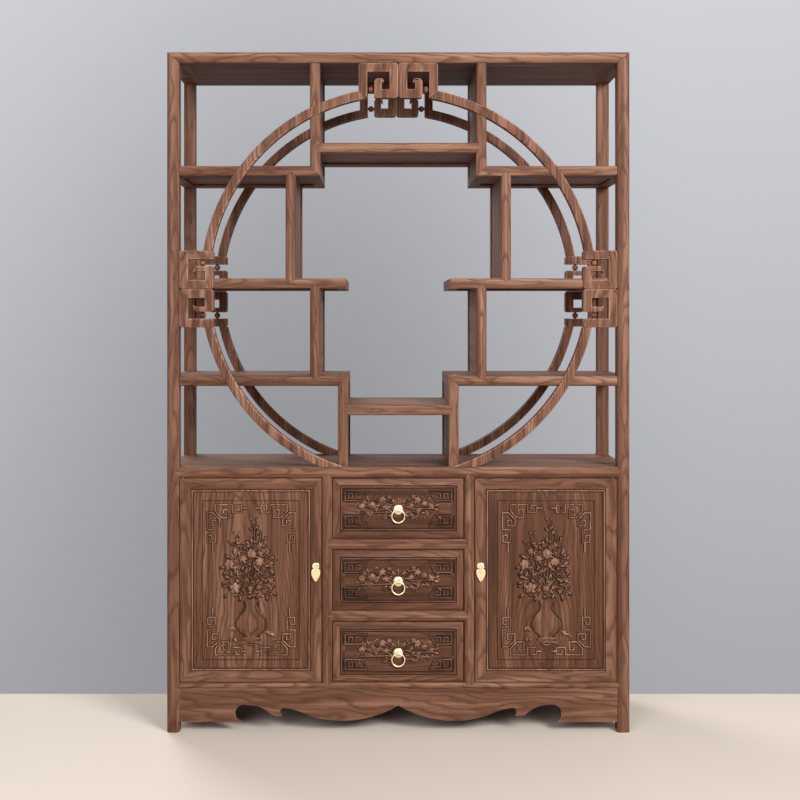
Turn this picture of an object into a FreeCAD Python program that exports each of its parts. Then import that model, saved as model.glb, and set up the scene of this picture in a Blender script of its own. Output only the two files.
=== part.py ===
import FreeCAD, Part
import math
import os

from FreeCAD import Vector

# Book cabinet: open display shelves round a moon-shaped ring, over a counter with two doors
# and three drawers. Millimetres, +Z up, front towards -Y, origin on the floor at the middle.
os.makedirs("parts", exist_ok=True)

# Whole cabinet
cabinet_width = 1360.0
cabinet_depth = 350.0
cabinet_height = 2000.0

# Frame members
post_width = 36.0
rail_depth = 60.0
stick_width = 30.0
stick_depth = 27.0
face_bow = 4.0
shelf_setback = 4.0
top_rail_height = 32.0
counter_level = 780.0
counter_rail_height = 32.0
base_level = 146.0
base_rail_height = 17.0
frame_panel_thickness = 12.0
batten_width = 30.0

# Joinery
lap_depth = 10.0
tenon_length = 20.0
stub_length = 8.0
side_stub_length = 5.0
tenon_thickness = 12.0
tenon_share = 0.5
point_share = 0.42
fillet_room_share = 0.95
tongue_reach = 6.0
tongue_thickness = 6.0
overrun = 5.0

# Shelves: their upper faces are placed by shares of the open height over the counter
shelf_height = 30.0
shelf_rail_depth = 66.0
shelf_panel_recess = 7.0
middle_shelf_end = 153.0
shelf_level_shares = {
    "top": 0.7458, "top_centre": 0.803, "middle": 0.4672, "lower": 0.2256, "lower_centre": 0.1532,
}

# Uprights, by the distance of their inner faces from the middle
top_upright_offset = 230.0
second_upright_offset = 302.0
third_upright_offset = 230.0
fourth_upright_offset = 148.0
upright_board_thickness = 22.0

# Moon ring, which leaves these gaps to the posts and to the top rail
ring_side_gap = 61.0
ring_top_gap = 70.0
ring_sink = 48.0
ring_width = 27.0

# Square-spiral frets, and the turned beads that hold their hooks
fret_depth = 30.0
fret_bar = 26.0
fret_gap = 0.8
fret_corner_radius = 8.0
corner_flats = 3
top_fret_space = 22.6
top_head_gap = 19.0
top_hook_height = 58.0
hook_width = 22.0
hook_head_drop = 16.0
hook_beak = 6.0
hook_radius = 12.0
side_fret_width = 101.0
side_fret_opening = 26.0
side_fret_drop = 11.5
side_hook_width = 15.0
side_hook_gap = 15.0
bead_seat = 20.0
bead_diameter = 19.0
bead_neck = 6.0
bead_outline_shares = ((0.0, 0.0), (0.3, 1.0), (0.7, 1.0), (1.0, 0.0))
bead_sides = 12
bead_share = 0.55

# Lower cabinet
stile_offset = 194.0
stile_width = 30.0
stile_depth = 36.0
drawer_rail_height = 31.0
side_panel_thickness = 12.0
back_panel_thickness = 10.0
back_panel_inset = 16.0
partition_thickness = 16.0
apron_thickness = 16.0
apron_clear = 30.0
apron_foot_reach = 179.0
side_apron_drop = 60.0
side_apron_foot = 40.0

# Doors
door_gap = 1.5
door_thickness = 24.0
door_frame_width = 34.0
door_panel_thickness = 12.0
panel_ground_depth = 4.5
panel_field_depth = 2.0
panel_bead_width = 5.0
panel_bead_depth = 1.0
panel_band_width = 26.0
panel_groove_width = 2.0
panel_groove_depth = 1.5
pivot_inset = 9.0
pivot_diameter = 8.0
pivot_reach = 14.0
pivot_clearance = 0.05
stop_size = 12.0
stop_length = 40.0
stop_clearance = 0.5

# Drawers
drawer_gap = 1.5
drawer_front_thickness = 20.0
drawer_side_thickness = 10.0
drawer_bottom_thickness = 6.0
drawer_bottom_inset = 8.0
drawer_side_height = 130.0
drawer_half_width = 190.0
drawer_back_clearance = 10.0
slide_clearance = 0.3
guide_clearance = 0.5
runner_height = 12.0
runner_reach = 22.0
guide_height = 20.0
field_side_margin = 27.5
field_end_margin = 29.0
carved_field_depth = 4.0
field_step_depth = 8.0
field_step_height = 38.0
field_bead_width = 7.0
field_groove_width = 2.5
field_groove_depth = 1.5

# Flat sides of the small round brass pieces
rod_sides = 8
disc_sides = 16

# Ring pulls of the drawers
boss_diameter = 28.0
boss_height = 3.6
boss_outline_shares = ((0.0, 1.0), (0.4, 1.0), (1.0, 0.45))
boss_drop = 4.0
eye_width = 9.0
eye_wall = 2.4
eye_clearance = 1.0
boss_clearance = 1.2
pull_wire = 4.0
pull_ring_diameter = 41.6
pull_stem_diameter = 6.0

# Leaf pulls of the doors
plate_diameter = 22.0
plate_thickness = 2.0
plate_level = 488.0
lug_thickness = 2.5
lug_radius = 4.0
lug_spread = 9.0
pin_drop = 4.0
drop_pin_diameter = 3.0
drop_pin_clearance = 0.1
drop_barrel_diameter = 6.0
drop_side_clearance = 0.3
drop_back_clearance = 0.6
drop_thickness = 3.0
drop_width = 27.0
drop_length = 40.0
drop_outline_shares = ((0.0, 0.31), (0.12, 0.31), (0.22, 1.0), (0.42, 1.0), (0.68, 0.78), (0.88, 0.42),
                       (1.0, 0.0))

LEFT, RIGHT = -1, 1
FRONT, REAR = -1, 1
SIDES = ((LEFT, "left"), (RIGHT, "right"))
FACES = ((FRONT, "front"), (REAR, "rear"))
X_AXIS, Y_AXIS, Z_AXIS = Vector(1, 0, 0), Vector(0, 1, 0), Vector(0, 0, 1)

half_width = cabinet_width / 2
half_depth = cabinet_depth / 2
post_inner = half_width - post_width
post_back = half_depth - face_bow - post_width
top_underside = cabinet_height - top_rail_height
counter_underside = counter_level - counter_rail_height
base_underside = base_level - base_rail_height
door_plane = half_depth - face_bow
stick_back = half_depth - shelf_setback - face_bow - stick_depth
shelf_rail_back = half_depth - shelf_setback - face_bow - shelf_rail_depth
back_panel_front = half_depth - face_bow - back_panel_inset - back_panel_thickness
shelf_levels = {
    name: counter_level + share * (top_underside - counter_level)
    for name, share in shelf_level_shares.items()
}
ring_half_width = post_inner - ring_side_gap
ring_half_height = (top_underside - ring_top_gap - counter_level + ring_sink) / 2
ring_level = top_underside - ring_top_gap - ring_half_height
top_fret_width = fret_gap / 2 + 2 * fret_bar + top_fret_space + hook_width + bead_seat
top_fret_height = fret_bar + top_head_gap + top_hook_height
side_fret_level = ring_level - side_fret_drop
side_fret_height = 2 * fret_bar + bead_seat + side_hook_width + side_fret_opening
drawer_opening_height = (counter_underside - base_level - 2 * drawer_rail_height) / 3
reach = 2 * (cabinet_width + cabinet_depth + cabinet_height)


def box(x0, x1, y0, y1, z0, z1):
    """Box between two opposite corners, given in any order."""
    corner = Vector(min(x0, x1), min(y0, y1), min(z0, z1))
    return Part.makeBox(abs(x1 - x0), abs(y1 - y0), abs(z1 - z0), corner)


def faceted(rings, joins_up):
    """Solid of flat faces through rings of points, capped at its ends or joined up on itself."""
    pairs = list(zip(rings, rings[1:]))
    faces = []
    if joins_up:
        pairs.append((rings[-1], rings[0]))
    else:
        faces = [Part.Face(Part.makePolygon(ring + ring[:1])) for ring in (rings[0][::-1], rings[-1])]
    for near, far in pairs:
        for index in range(len(near)):
            following = (index + 1) % len(near)
            corners = [near[index], near[following], far[following], far[index], near[index]]
            faces.append(Part.Face(Part.makePolygon(corners)))
    solid = Part.Solid(Part.makeShell(faces))
    if solid.Volume < 0:
        solid.reverse()
    return solid


def turned(start, end, outline, sides):
    """Near-round solid of flat faces along a line, from an outline of (share of the line, radius)."""
    axis = end - start
    across = axis.cross(X_AXIS if abs(axis.x) < abs(axis.z) else Z_AXIS).normalize()
    around = axis.cross(across).normalize()
    turns = [2 * math.pi * (index + 0.5) / sides for index in range(sides)]
    spokes = [across * math.cos(turn) + around * math.sin(turn) for turn in turns]
    return faceted([[start + axis * share + spoke * radius for spoke in spokes] for share, radius in outline],
                   False)


def rod(start, end, diameter):
    """Thin many-sided bar from one point to another."""
    return turned(start, end, ((0, diameter / 2), (1, diameter / 2)), rod_sides)


def cylinder(start, end, diameter):
    """Round bar from one point to another."""
    axis = end - start
    return Part.makeCylinder(diameter / 2, axis.Length, start, axis)


def rounded_face(points, radii):
    """Flat face over an outline whose corners have these radii, as far as their sides leave room.
    Each rounding is drawn in a few flats."""
    count = len(points)
    outline = []
    for index, (corner, radius) in enumerate(zip(points, radii)):
        if radius == 0:
            outline.append(corner)
            continue
        before, after = corner - points[index - 1], points[(index + 1) % count] - corner
        turn = before.getAngle(after)
        sides = ((before, radii[index - 1]), (after, radii[(index + 1) % count]))
        rooms = [side.Length * radius / (radius + other) for side, other in sides]
        radius = min(radius, fillet_room_share * min(rooms) / math.tan(turn / 2))
        before, after = before.normalize(), after.normalize()
        centre = corner + (after - before).normalize() * (radius / math.cos(turn / 2))
        start = corner - before * (radius * math.tan(turn / 2)) - centre
        for step in range(corner_flats + 1):
            swing = turn * step / corner_flats
            outline.append(centre + start * math.cos(swing) + before * (radius * math.sin(swing)))
    return Part.Face(Part.makePolygon(outline + outline[:1]))


def spot(run, across, y, along):
    """Point of an upright or a level member."""
    return Vector(across, y, along) if run == "upright" else Vector(along, y, across)


def plane_of(behind, facing):
    """Y of a plane this far behind the front of the cabinet, or behind its rear."""
    return facing * (half_depth - behind)


def bowed_bar(run, middle, width, behind, depth, start, end, facing):
    """Straight member whose outer face is bowed; depth is counted behind that face's edges."""
    crown = plane_of(behind, facing)
    edge = plane_of(behind + face_bow, facing)
    back = plane_of(behind + face_bow + depth, facing)
    low, high = middle - width / 2, middle + width / 2
    bow = Part.Arc(
        spot(run, low, edge, start), spot(run, middle, crown, start), spot(run, high, edge, start)
    ).toShape()
    rest = Part.makePolygon([
        spot(run, high, edge, start), spot(run, high, back, start),
        spot(run, low, back, start), spot(run, low, edge, start),
    ])
    face = Part.Face(Part.Wire([bow] + rest.Edges))
    return face.extrude(spot(run, 0, 0, end - start))


def point_lap(run, middle, width, behind, place, outwards, facing):
    """Mitred point that a member's face laps over the middle of the member it meets."""
    tip = place + outwards * width * point_share
    lap = bowed_bar(run, middle, width, behind, lap_depth, place, tip, facing)
    corners = [(middle - width / 2, place), (middle, tip), (middle + width / 2, place)]
    outline = [spot(run, across, -cabinet_depth, along) for across, along in corners]
    arrow = Part.Face(Part.makePolygon(outline + outline[:1])).extrude(Y_AXIS * 2 * cabinet_depth)
    return lap.common(arrow)


def tenon(run, middle, width, behind, depth, place, outwards, length, facing):
    """Square tenon in the middle of the member's depth, or of the post's if that is less."""
    inset = (min(depth, post_width) - tenon_thickness) / 2
    near = plane_of(behind + face_bow + inset, facing)
    far = plane_of(behind + face_bow + inset + tenon_thickness, facing)
    half = width * tenon_share / 2
    low = spot(run, middle - half, near, place)
    high = spot(run, middle + half, far, place + outwards * length)
    return box(low.x, high.x, low.y, high.y, low.z, high.z)


def member(run, middle, width, behind, depth, ends, facing):
    """Bowed member with its joints; each end is (place, is it pointed, length of its tenon)."""
    start, end = ends[0][0], ends[1][0]
    bar = bowed_bar(run, middle, width, behind, depth, start, end, facing)
    joints = []
    for (place, pointed, length), other in zip(ends, (end, start)):
        outwards = math.copysign(1, place - other)
        if pointed:
            joints.append(point_lap(run, middle, width, behind, place, outwards, facing))
        if length > 0:
            joints.append(tenon(run, middle, width, behind, depth, place, outwards, length, facing))
    return bar.fuse(joints).removeSplitter() if joints else bar


def cut_beyond(shape, point, normal):
    """Shape without what lies on the side of a plane that the normal points to."""
    block = Part.makeBox(reach, reach, reach, Vector(-reach / 2, -reach / 2, 0))
    block.Placement = FreeCAD.Placement(point, FreeCAD.Rotation(Z_AXIS, normal))
    return shape.cut(block)


def carved(solids, tools):
    """The solids, each with the tools that reach it taken out."""
    result = []
    for solid in solids:
        near = [tool for tool in tools if solid.BoundBox.intersect(tool.BoundBox)]
        result.extend(solid.cut(near).Solids if near else [solid])
    return result


def tongued_panel(x0, x1, y0, y1, z_low, z_high, z_tongue):
    """Level board with a tongue all round, which goes into the grooves of its frame."""
    board = box(x0, x1, y0, y1, z_low, z_high)
    left, right = min(x0, x1) - tongue_reach, max(x0, x1) + tongue_reach
    near, far = min(y0, y1) - tongue_reach, max(y0, y1) + tongue_reach
    return board.fuse(box(left, right, near, far, z_tongue, z_tongue + tongue_thickness)).removeSplitter()


def corner_planes(side, facing):
    """Outer corner of a post's top, and the normals of the mitres that meet along its diagonal."""
    corner = Vector(side * half_width, facing * door_plane, cabinet_height)
    inner = Vector(side * post_inner, facing * post_back, top_underside)
    diagonal = inner - corner
    post_to_rail = diagonal.cross(Y_AXIS)
    post_to_side = diagonal.cross(X_AXIS)
    rail_to_side = diagonal.cross(Z_AXIS)
    return corner, post_to_rail, post_to_side, rail_to_side


def facing_up(normal):
    return normal if normal.z > 0 else normal * -1


def facing_out(normal, facing):
    return normal if normal.y * facing > 0 else normal * -1


def post(side, facing):
    """Corner post, mitred at its top with the two rails that meet there."""
    bar = bowed_bar("upright", side * (half_width - post_width / 2), post_width, 0, post_width,
                    0, cabinet_height, facing)
    corner, to_rail, to_side, _ = corner_planes(side, facing)
    bar = cut_beyond(bar, corner, facing_up(to_rail))
    return cut_beyond(bar, corner, facing_up(to_side))


def top_rail(facing):
    """Front or rear rail of the top frame."""
    rail = bowed_bar("level", cabinet_height - top_rail_height / 2, top_rail_height, 0, rail_depth,
                     -half_width, half_width, facing)
    for side, _ in SIDES:
        corner, to_rail, _, to_side = corner_planes(side, facing)
        rail = cut_beyond(rail, corner, facing_up(to_rail) * -1)
        rail = cut_beyond(rail, corner, facing_out(to_side, facing) * -1)
    return rail


def top_side_rail(side):
    """Side rail of the top frame."""
    rail = box(side * half_width, side * (half_width - rail_depth), -half_depth, half_depth,
               top_underside, cabinet_height)
    for facing, _ in FACES:
        corner, _, to_side, to_rail = corner_planes(side, facing)
        rail = cut_beyond(rail, corner, facing_up(to_side) * -1)
        rail = cut_beyond(rail, corner, facing_out(to_rail, facing))
    return rail


def side_rail(side, level, height):
    """Rail between a front and a rear post, flush with their outer faces, on two stub tenons."""
    middle_x, middle_z = side * (post_inner + post_width / 2), level - height / 2
    rail = box(side * post_inner, side * half_width, -post_back, post_back, level - height, level)
    half_x, half_z = post_width * tenon_share / 2, height * tenon_share / 2
    end = post_back + side_stub_length
    stubs = box(middle_x - half_x, middle_x + half_x, -end, end, middle_z - half_z, middle_z + half_z)
    return rail.fuse(stubs).removeSplitter()


def level_frame(level, height, tenon_reach):
    """Front and rear rails with pointed ends on the posts, and two side rails between the posts."""
    ends = ((-post_inner, True, tenon_reach), (post_inner, True, tenon_reach))
    rails = [member("level", level - height / 2, height, 0, rail_depth, ends, facing) for facing, _ in FACES]
    return rails + [side_rail(side, level, height) for side, _ in SIDES]


def frame_panel(level):
    """Board of the counter or the base, flush with the upper face of its frame."""
    inner = half_depth - face_bow - rail_depth
    low = level - frame_panel_thickness
    return tongued_panel(-post_inner, post_inner, -inner, inner, low, level, low)


def shelf_panel(x0, x1, level):
    """Shelf board, flush on top and a little recessed from below."""
    low = level - shelf_height + shelf_panel_recess
    return tongued_panel(x0, x1, -shelf_rail_back, shelf_rail_back, low, level, low + tongue_thickness)


def end_rail(side, offset, level, is_free):
    """Rail that closes the inner end of a side shelf, from front to back."""
    inner, outer = side * offset, side * (offset + stick_width)
    length = half_depth if is_free else stick_back
    return box(inner, outer, -length, length, level - shelf_height, level)


def side_shelf(side, level, offset, corner_turn):
    """Frame and board of a side shelf. corner_turn is 1 where its inner end is mitred with an
    upright above it, -1 with an upright below it, and 0 where that end is free."""
    middle, low = level - shelf_height / 2, level - shelf_height
    ends = ((side * offset, False, 0), (side * post_inner, False, tenon_length))
    closing = end_rail(side, offset, level, corner_turn == 0)
    rails = []
    for facing, _ in FACES:
        rail = member("level", middle, shelf_height, shelf_setback, shelf_rail_depth, ends, facing)
        if corner_turn:
            corner, slope = mitre_plane(side, offset, low if corner_turn > 0 else level, corner_turn)
            rail = cut_beyond(rail, corner, slope)
            rail = rail.cut(box(side * offset, side * (offset + stick_width), -stick_back, stick_back,
                                low, level))
        else:
            corner = Vector(side * offset, plane_of(shelf_setback + face_bow, facing), level)
            across = Vector(side * stick_width, -facing * shelf_rail_depth, 0)
            normal = facing_out(across.cross(Z_AXIS), facing)
            rail = cut_beyond(rail, corner, normal * -1)
            closing = cut_beyond(closing, corner, normal)
        rails.append(rail)
    board = shelf_panel(side * (offset + stick_width), side * post_inner, level)
    frame = carved(rails + [closing, side_rail(side, level, shelf_height)], [board])
    return frame + [board]


def mitre_plane(side, offset, z_corner, turn):
    """Plane through the outer corner where a shelf's end and an upright's end meet at 45 degrees.
    Its normal points to the upright's share of the corner."""
    return Vector(side * offset, 0, z_corner), Vector(-side, 0, turn)


def centre_shelf(level, half_span):
    """Shelf between two uprights. Its front and rear rails have pointed ends on the sticks, and
    reach the thinner boards behind them."""
    low = level - shelf_height
    ends = ((-half_span, True, stub_length), (half_span, True, stub_length))
    board_end = half_span + (stick_width - upright_board_thickness) / 2
    rails = []
    for facing, _ in FACES:
        rail = member("level", level - shelf_height / 2, shelf_height, shelf_setback, shelf_rail_depth,
                      ends, facing)
        heel = box(-board_end, board_end, facing * stick_back, facing * shelf_rail_back, low, level)
        rails.append(rail.fuse(heel).removeSplitter())
    board_low = low + shelf_panel_recess
    core = box(-board_end, board_end, -shelf_rail_back, shelf_rail_back, board_low, level)
    tongue_end, tongue_low = shelf_rail_back + tongue_reach, board_low + tongue_thickness
    tongue = box(-half_span, half_span, -tongue_end, tongue_end, tongue_low, tongue_low + tongue_thickness)
    board = core.fuse(tongue).removeSplitter()
    return carved(rails, [board]) + [board]


def upright(side, offset, bottom, top):
    """Two bowed sticks, front and rear, with a thinner board between them, which goes up to the
    recessed board of the shelf over it. bottom and top are (level, is it pointed, length of its
    tenon, turn of a mitred corner or 0)."""
    middle = side * (offset + stick_width / 2)
    sticks = []
    for facing, _ in FACES:
        ends = (bottom[:3], top[:3])
        stick = member("upright", middle, stick_width, shelf_setback, stick_depth, ends, facing)
        for level, _, _, turn in (bottom, top):
            if turn:
                corner, normal = mitre_plane(side, offset, level, turn)
                stick = cut_beyond(stick, corner, normal * -1)
        sticks.append(stick)
    low = bottom[0] + (shelf_height if bottom[3] else 0)
    high = top[0] - (shelf_height if top[3] else 0)
    half_board = upright_board_thickness / 2
    board = box(middle - half_board, middle + half_board, -stick_back - tongue_reach,
                stick_back + tongue_reach, low, high)
    if top[1]:
        head = box(middle - half_board, middle + half_board, -shelf_rail_back, shelf_rail_back,
                   high, high + shelf_panel_recess)
        board = board.fuse(head).removeSplitter()
    return carved(sticks, [board]) + [board]


def ring_board(inset, facing, depth):
    """Board with the ring's outline, this far inside its outer edge, flush with the cabinet's front or rear.
    The outline is a circle where the cabinet's proportions make it one, and else an oval."""
    start, end = plane_of(0, facing), plane_of(depth, facing)
    centre = Vector(0, min(start, end), ring_level)
    spokes = [X_AXIS * (ring_half_width - inset), Z_AXIS * (ring_half_height - inset)]
    longer, shorter = sorted(spokes, key=lambda spoke: spoke.Length, reverse=True)
    outline = Part.Ellipse(centre + longer, centre + shorter, centre).toShape()
    return Part.Face(Part.Wire(outline)).extrude(Y_AXIS * depth)


def ring_band(facing, depth):
    """Whole moon ring, before its arcs are cut from it. Its lowest part would lie under the counter."""
    return ring_board(0, facing, depth).cut(ring_board(ring_width, facing, depth))


def ring_height_at(inset, x):
    """How far above the ring's middle its outline passes at x, this far inside its outer edge."""
    share = x / (ring_half_width - inset)
    return (ring_half_height - inset) * math.sqrt(1 - share ** 2)


def fret_mitre(side):
    """Outer and inner point of the mitre between the ring's top end and the fret's outer leg."""
    leg_outer, leg_inner = top_fret_width, top_fret_width - fret_bar
    outer = Vector(side * leg_outer, 0, ring_level + ring_height_at(0, leg_outer))
    inner = Vector(side * leg_inner, 0, ring_level + ring_height_at(ring_width, leg_inner))
    return outer, inner


def upper_arc(side, facing, depth):
    """Ring from the top fret's mitre down to the upper side fret."""
    bottom = side_fret_level + side_fret_height
    region = box(0, side * half_width, -half_depth, half_depth, bottom, top_underside)
    outer, inner = fret_mitre(side)
    normal = (outer - inner).cross(Y_AXIS)
    if normal.x * side > 0:
        normal = normal * -1
    return cut_beyond(ring_band(facing, depth).common(region), outer, normal)


def lower_arc(side, facing, depth):
    """Ring from the lower side fret down to the counter."""
    top = side_fret_level - side_fret_height
    region = box(0, side * half_width, -half_depth, half_depth, counter_level, top)
    return ring_band(facing, depth).common(region)


def fret_solid(side, facing, depth, origin_x, origin_z, flip, outline):
    """Fret from an outline of (outwards, downwards, corner radius); flip turns it upside down."""
    y = plane_of(0, facing)
    points = [Vector(side * (origin_x + across), y, origin_z - flip * down) for across, down, _ in outline]
    face = rounded_face(points, [radius for _, _, radius in outline])
    return face.extrude(Y_AXIS * -facing * depth)


def top_fret(side, facing, depth):
    """Square spiral under the top rail: outer leg, top bar, inner leg, bottom bar and rising hook."""
    inner_edge = fret_gap / 2
    width, height = top_fret_width - inner_edge, top_fret_height
    leg = width - fret_bar
    outer_end, inner_end = fret_mitre(side)
    hook_out = leg - bead_seat
    hook_in = hook_out - hook_width
    head = height - top_hook_height
    outline = [
        (0, 0, fret_corner_radius), (width, 0, fret_corner_radius),
        (width, top_underside - outer_end.z, 0), (leg, top_underside - inner_end.z, 0),
        (leg, fret_bar, 0), (fret_bar, fret_bar, 0), (fret_bar, height - fret_bar, 0),
        (hook_in, height - fret_bar, 0), (hook_in, head + hook_head_drop - hook_beak, 0),
        (hook_in - hook_beak, head + hook_head_drop, 0), (hook_in - hook_beak, head, hook_radius),
        (hook_out, head, hook_radius), (hook_out, height, fret_corner_radius),
        (0, height, fret_corner_radius),
    ]
    return fret_solid(side, facing, depth, inner_edge, top_underside, 1, outline)


def side_hook_reach():
    """How far a side fret's hook reaches from the fret's inner edge."""
    return side_fret_width - fret_bar - side_hook_gap


def side_fret(side, facing, depth, flip):
    """Square spiral beside the post: bar under the ring, outer leg, far bar, inner leg and hook."""
    width, height = side_fret_width, side_fret_height - fret_gap / 2
    hook, hook_reach = fret_bar + bead_seat, side_hook_reach()
    outline = [
        (0, 0, fret_corner_radius), (width, 0, fret_corner_radius), (width, height, fret_corner_radius),
        (0, height, fret_corner_radius), (0, hook, fret_corner_radius),
        (hook_reach, hook, hook_radius), (hook_reach, hook + side_hook_width + hook_beak, 0),
        (hook_reach - hook_beak, hook + side_hook_width, 0), (fret_bar, hook + side_hook_width, 0),
        (fret_bar, height - fret_bar, 0), (width - fret_bar, height - fret_bar, 0),
        (width - fret_bar, fret_bar, 0), (0, fret_bar, 0),
    ]
    origin_z = side_fret_level + flip * side_fret_height
    return fret_solid(side, facing, depth, post_inner - side_fret_width, origin_z, flip, outline)


def bead(centre, axis):
    """Turned bead with flat ends, which holds a hook to the bar beside it."""
    half_seat = axis * (bead_seat / 2)
    swell = (bead_diameter - bead_neck) / 2
    outline = [(share, bead_neck / 2 + swell * swelling) for share, swelling in bead_outline_shares]
    return turned(centre - half_seat, centre + half_seat, outline, bead_sides)


def top_bead(side, facing):
    across = top_fret_width - fret_bar - bead_seat / 2
    height = top_underside - top_fret_height + top_hook_height * (1 - bead_share)
    return bead(Vector(side * across, plane_of(fret_depth / 2, facing), height), X_AXIS)


def side_bead(side, facing, flip):
    across = post_inner - side_fret_width + side_hook_reach() * bead_share
    height = side_fret_level + flip * (side_fret_height - fret_bar - bead_seat / 2)
    return bead(Vector(side * across, plane_of(fret_depth / 2, facing), height), Z_AXIS)


def stile(side):
    """Post between a door and the drawers, pointed into the counter's and the base's rails."""
    ends = ((base_level, True, stub_length), (counter_underside, True, tenon_length))
    middle = side * (stile_offset + stile_width / 2)
    return member("upright", middle, stile_width, 0, stile_depth, ends, FRONT)


def drawer_rail(level):
    """Rail under a drawer, whose pointed ends lap over the stiles."""
    ends = ((-stile_offset, True, tenon_length), (stile_offset, True, tenon_length))
    middle = level - drawer_rail_height / 2
    return member("level", middle, drawer_rail_height, 0, stile_depth, ends, FRONT)


def front_apron():
    """Board under the base rail with ogee curves that meet in a raised point at the middle.
    Its left half is drawn as shares of the half length and of the board's height."""
    top, height = base_underside, base_underside - apron_clear
    length = post_inner - apron_foot_reach
    curve_shares = [
        (1.0, 0.0), (1.028, 0.34), (0.95, 0.5), (0.88, 0.45), (0.817, 0.27), (0.78, 0.18), (0.735, 0.19),
        (0.748, 0.3), (0.72, 0.42), (0.66, 0.36), (0.555, 0.17), (0.305, 0.04), (0.0, 0.49),
    ]
    spots = [(along * length, apron_clear + rise * height) for along, rise in curve_shares]
    y = plane_of(face_bow, FRONT)
    edges = []
    for side, _ in SIDES:
        points = [Vector(side * x, y, z) for x, z in spots]
        edges += [Part.Arc(*points[index:index + 3]).toShape() for index in range(0, len(points) - 2, 2)]
        foot, head = Vector(side * post_inner, y, apron_clear), Vector(side * post_inner, y, top)
        edges += [Part.makeLine(foot, points[0]), Part.makeLine(head, foot)]
    edges.append(Part.makeLine(Vector(-post_inner, y, top), Vector(post_inner, y, top)))
    face = Part.Face(Part.Wire(Part.__sortEdges__(edges)))
    return face.extrude(Y_AXIS * apron_thickness)


def side_apron(side):
    """Plain apron between a front and a rear post, with a shallow arch between two feet."""
    x = side * (half_width - face_bow)
    top, low = base_underside, base_underside - side_apron_drop
    arch = top - side_apron_drop / 2
    inner = post_back - side_apron_foot
    points = [Vector(x, -post_back, top), Vector(x, -post_back, low), Vector(x, -inner, low)]
    points += [Vector(x, inner, low), Vector(x, post_back, low), Vector(x, post_back, top)]
    edges = [Part.makeLine(points[0], points[1]), Part.makeLine(points[1], points[2])]
    edges.append(Part.Arc(points[2], Vector(x, 0, arch), points[3]).toShape())
    edges += [Part.makeLine(points[3], points[4]), Part.makeLine(points[4], points[5])]
    edges.append(Part.makeLine(points[5], points[0]))
    return Part.Face(Part.Wire(edges)).extrude(X_AXIS * -side * apron_thickness)


def side_panel(side):
    """Board that closes the lower cabinet's side, in grooves of the posts and the side rails."""
    middle = side * (post_inner + post_width / 2)
    half = side_panel_thickness / 2
    end = post_back + tongue_reach
    return box(middle - half, middle + half, -end, end, base_level - tongue_reach,
               counter_underside + tongue_reach)


def back_panel():
    """Board that closes the lower cabinet's back, in grooves of the rear posts and rails."""
    end = post_inner + tongue_reach
    return box(-end, end, back_panel_front, back_panel_front + back_panel_thickness,
               base_level - tongue_reach, counter_underside + tongue_reach)


def partition(side):
    """Wall between a cupboard and the drawers, behind the stile."""
    middle = side * (stile_offset + stile_width / 2)
    half = partition_thickness / 2
    front = plane_of(face_bow + stile_depth, FRONT)
    return box(middle - half, middle + half, front, back_panel_front, base_level, counter_underside)


def counter_batten(side):
    """Cross batten under the counter's board, over a partition."""
    middle = side * (stile_offset + stile_width / 2)
    inner = half_depth - face_bow - rail_depth
    return box(middle - batten_width / 2, middle + batten_width / 2, -inner, inner,
               counter_underside, counter_level - frame_panel_thickness)


def drawer_guide(side, level):
    """Strip that keeps a drawer straight."""
    wall = stile_offset + (stile_width - partition_thickness) / 2
    front = plane_of(face_bow + stile_depth, FRONT)
    guide_face = drawer_half_width + guide_clearance
    return box(side * guide_face, side * wall, front, back_panel_front, level, level + guide_height)


def drawer_runner(side, level):
    """Strip that a drawer's side slides on."""
    wall = stile_offset + (stile_width - partition_thickness) / 2
    front = plane_of(face_bow + stile_depth, FRONT)
    return box(side * (wall - runner_reach), side * wall, front, back_panel_front,
               level - runner_height, level)


def door_stop(side):
    """Block under the counter's rail that the closed door comes to rest against."""
    inner = stile_offset + stile_width + door_gap
    front = plane_of(face_bow + door_thickness + stop_clearance, FRONT)
    return box(side * inner, side * (inner + stop_length), front, front + stop_size,
               counter_underside - stop_size - door_gap, counter_underside)


def door_limits(side):
    """Hinge edge, free edge, bottom and top of a door, inside its gaps."""
    hinge = side * (post_inner - door_gap)
    free = side * (stile_offset + stile_width + door_gap)
    return hinge, free, base_level + door_gap, counter_underside - door_gap


def pivot_axis(side):
    """X and Y of the line that a door turns about."""
    return side * (post_inner - door_gap - pivot_inset), plane_of(face_bow + pivot_inset, FRONT)


def door_pivots(side):
    """Brass pins above and below a door."""
    x, y = pivot_axis(side)
    _, _, bottom, top = door_limits(side)
    low_seat, high_seat = base_level - base_rail_height / 2, counter_underside + pivot_reach
    lower = rod(Vector(x, y, low_seat), Vector(x, y, bottom + pivot_reach), pivot_diameter)
    upper = rod(Vector(x, y, top - pivot_reach), Vector(x, y, high_seat), pivot_diameter)
    return [lower, upper]


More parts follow.
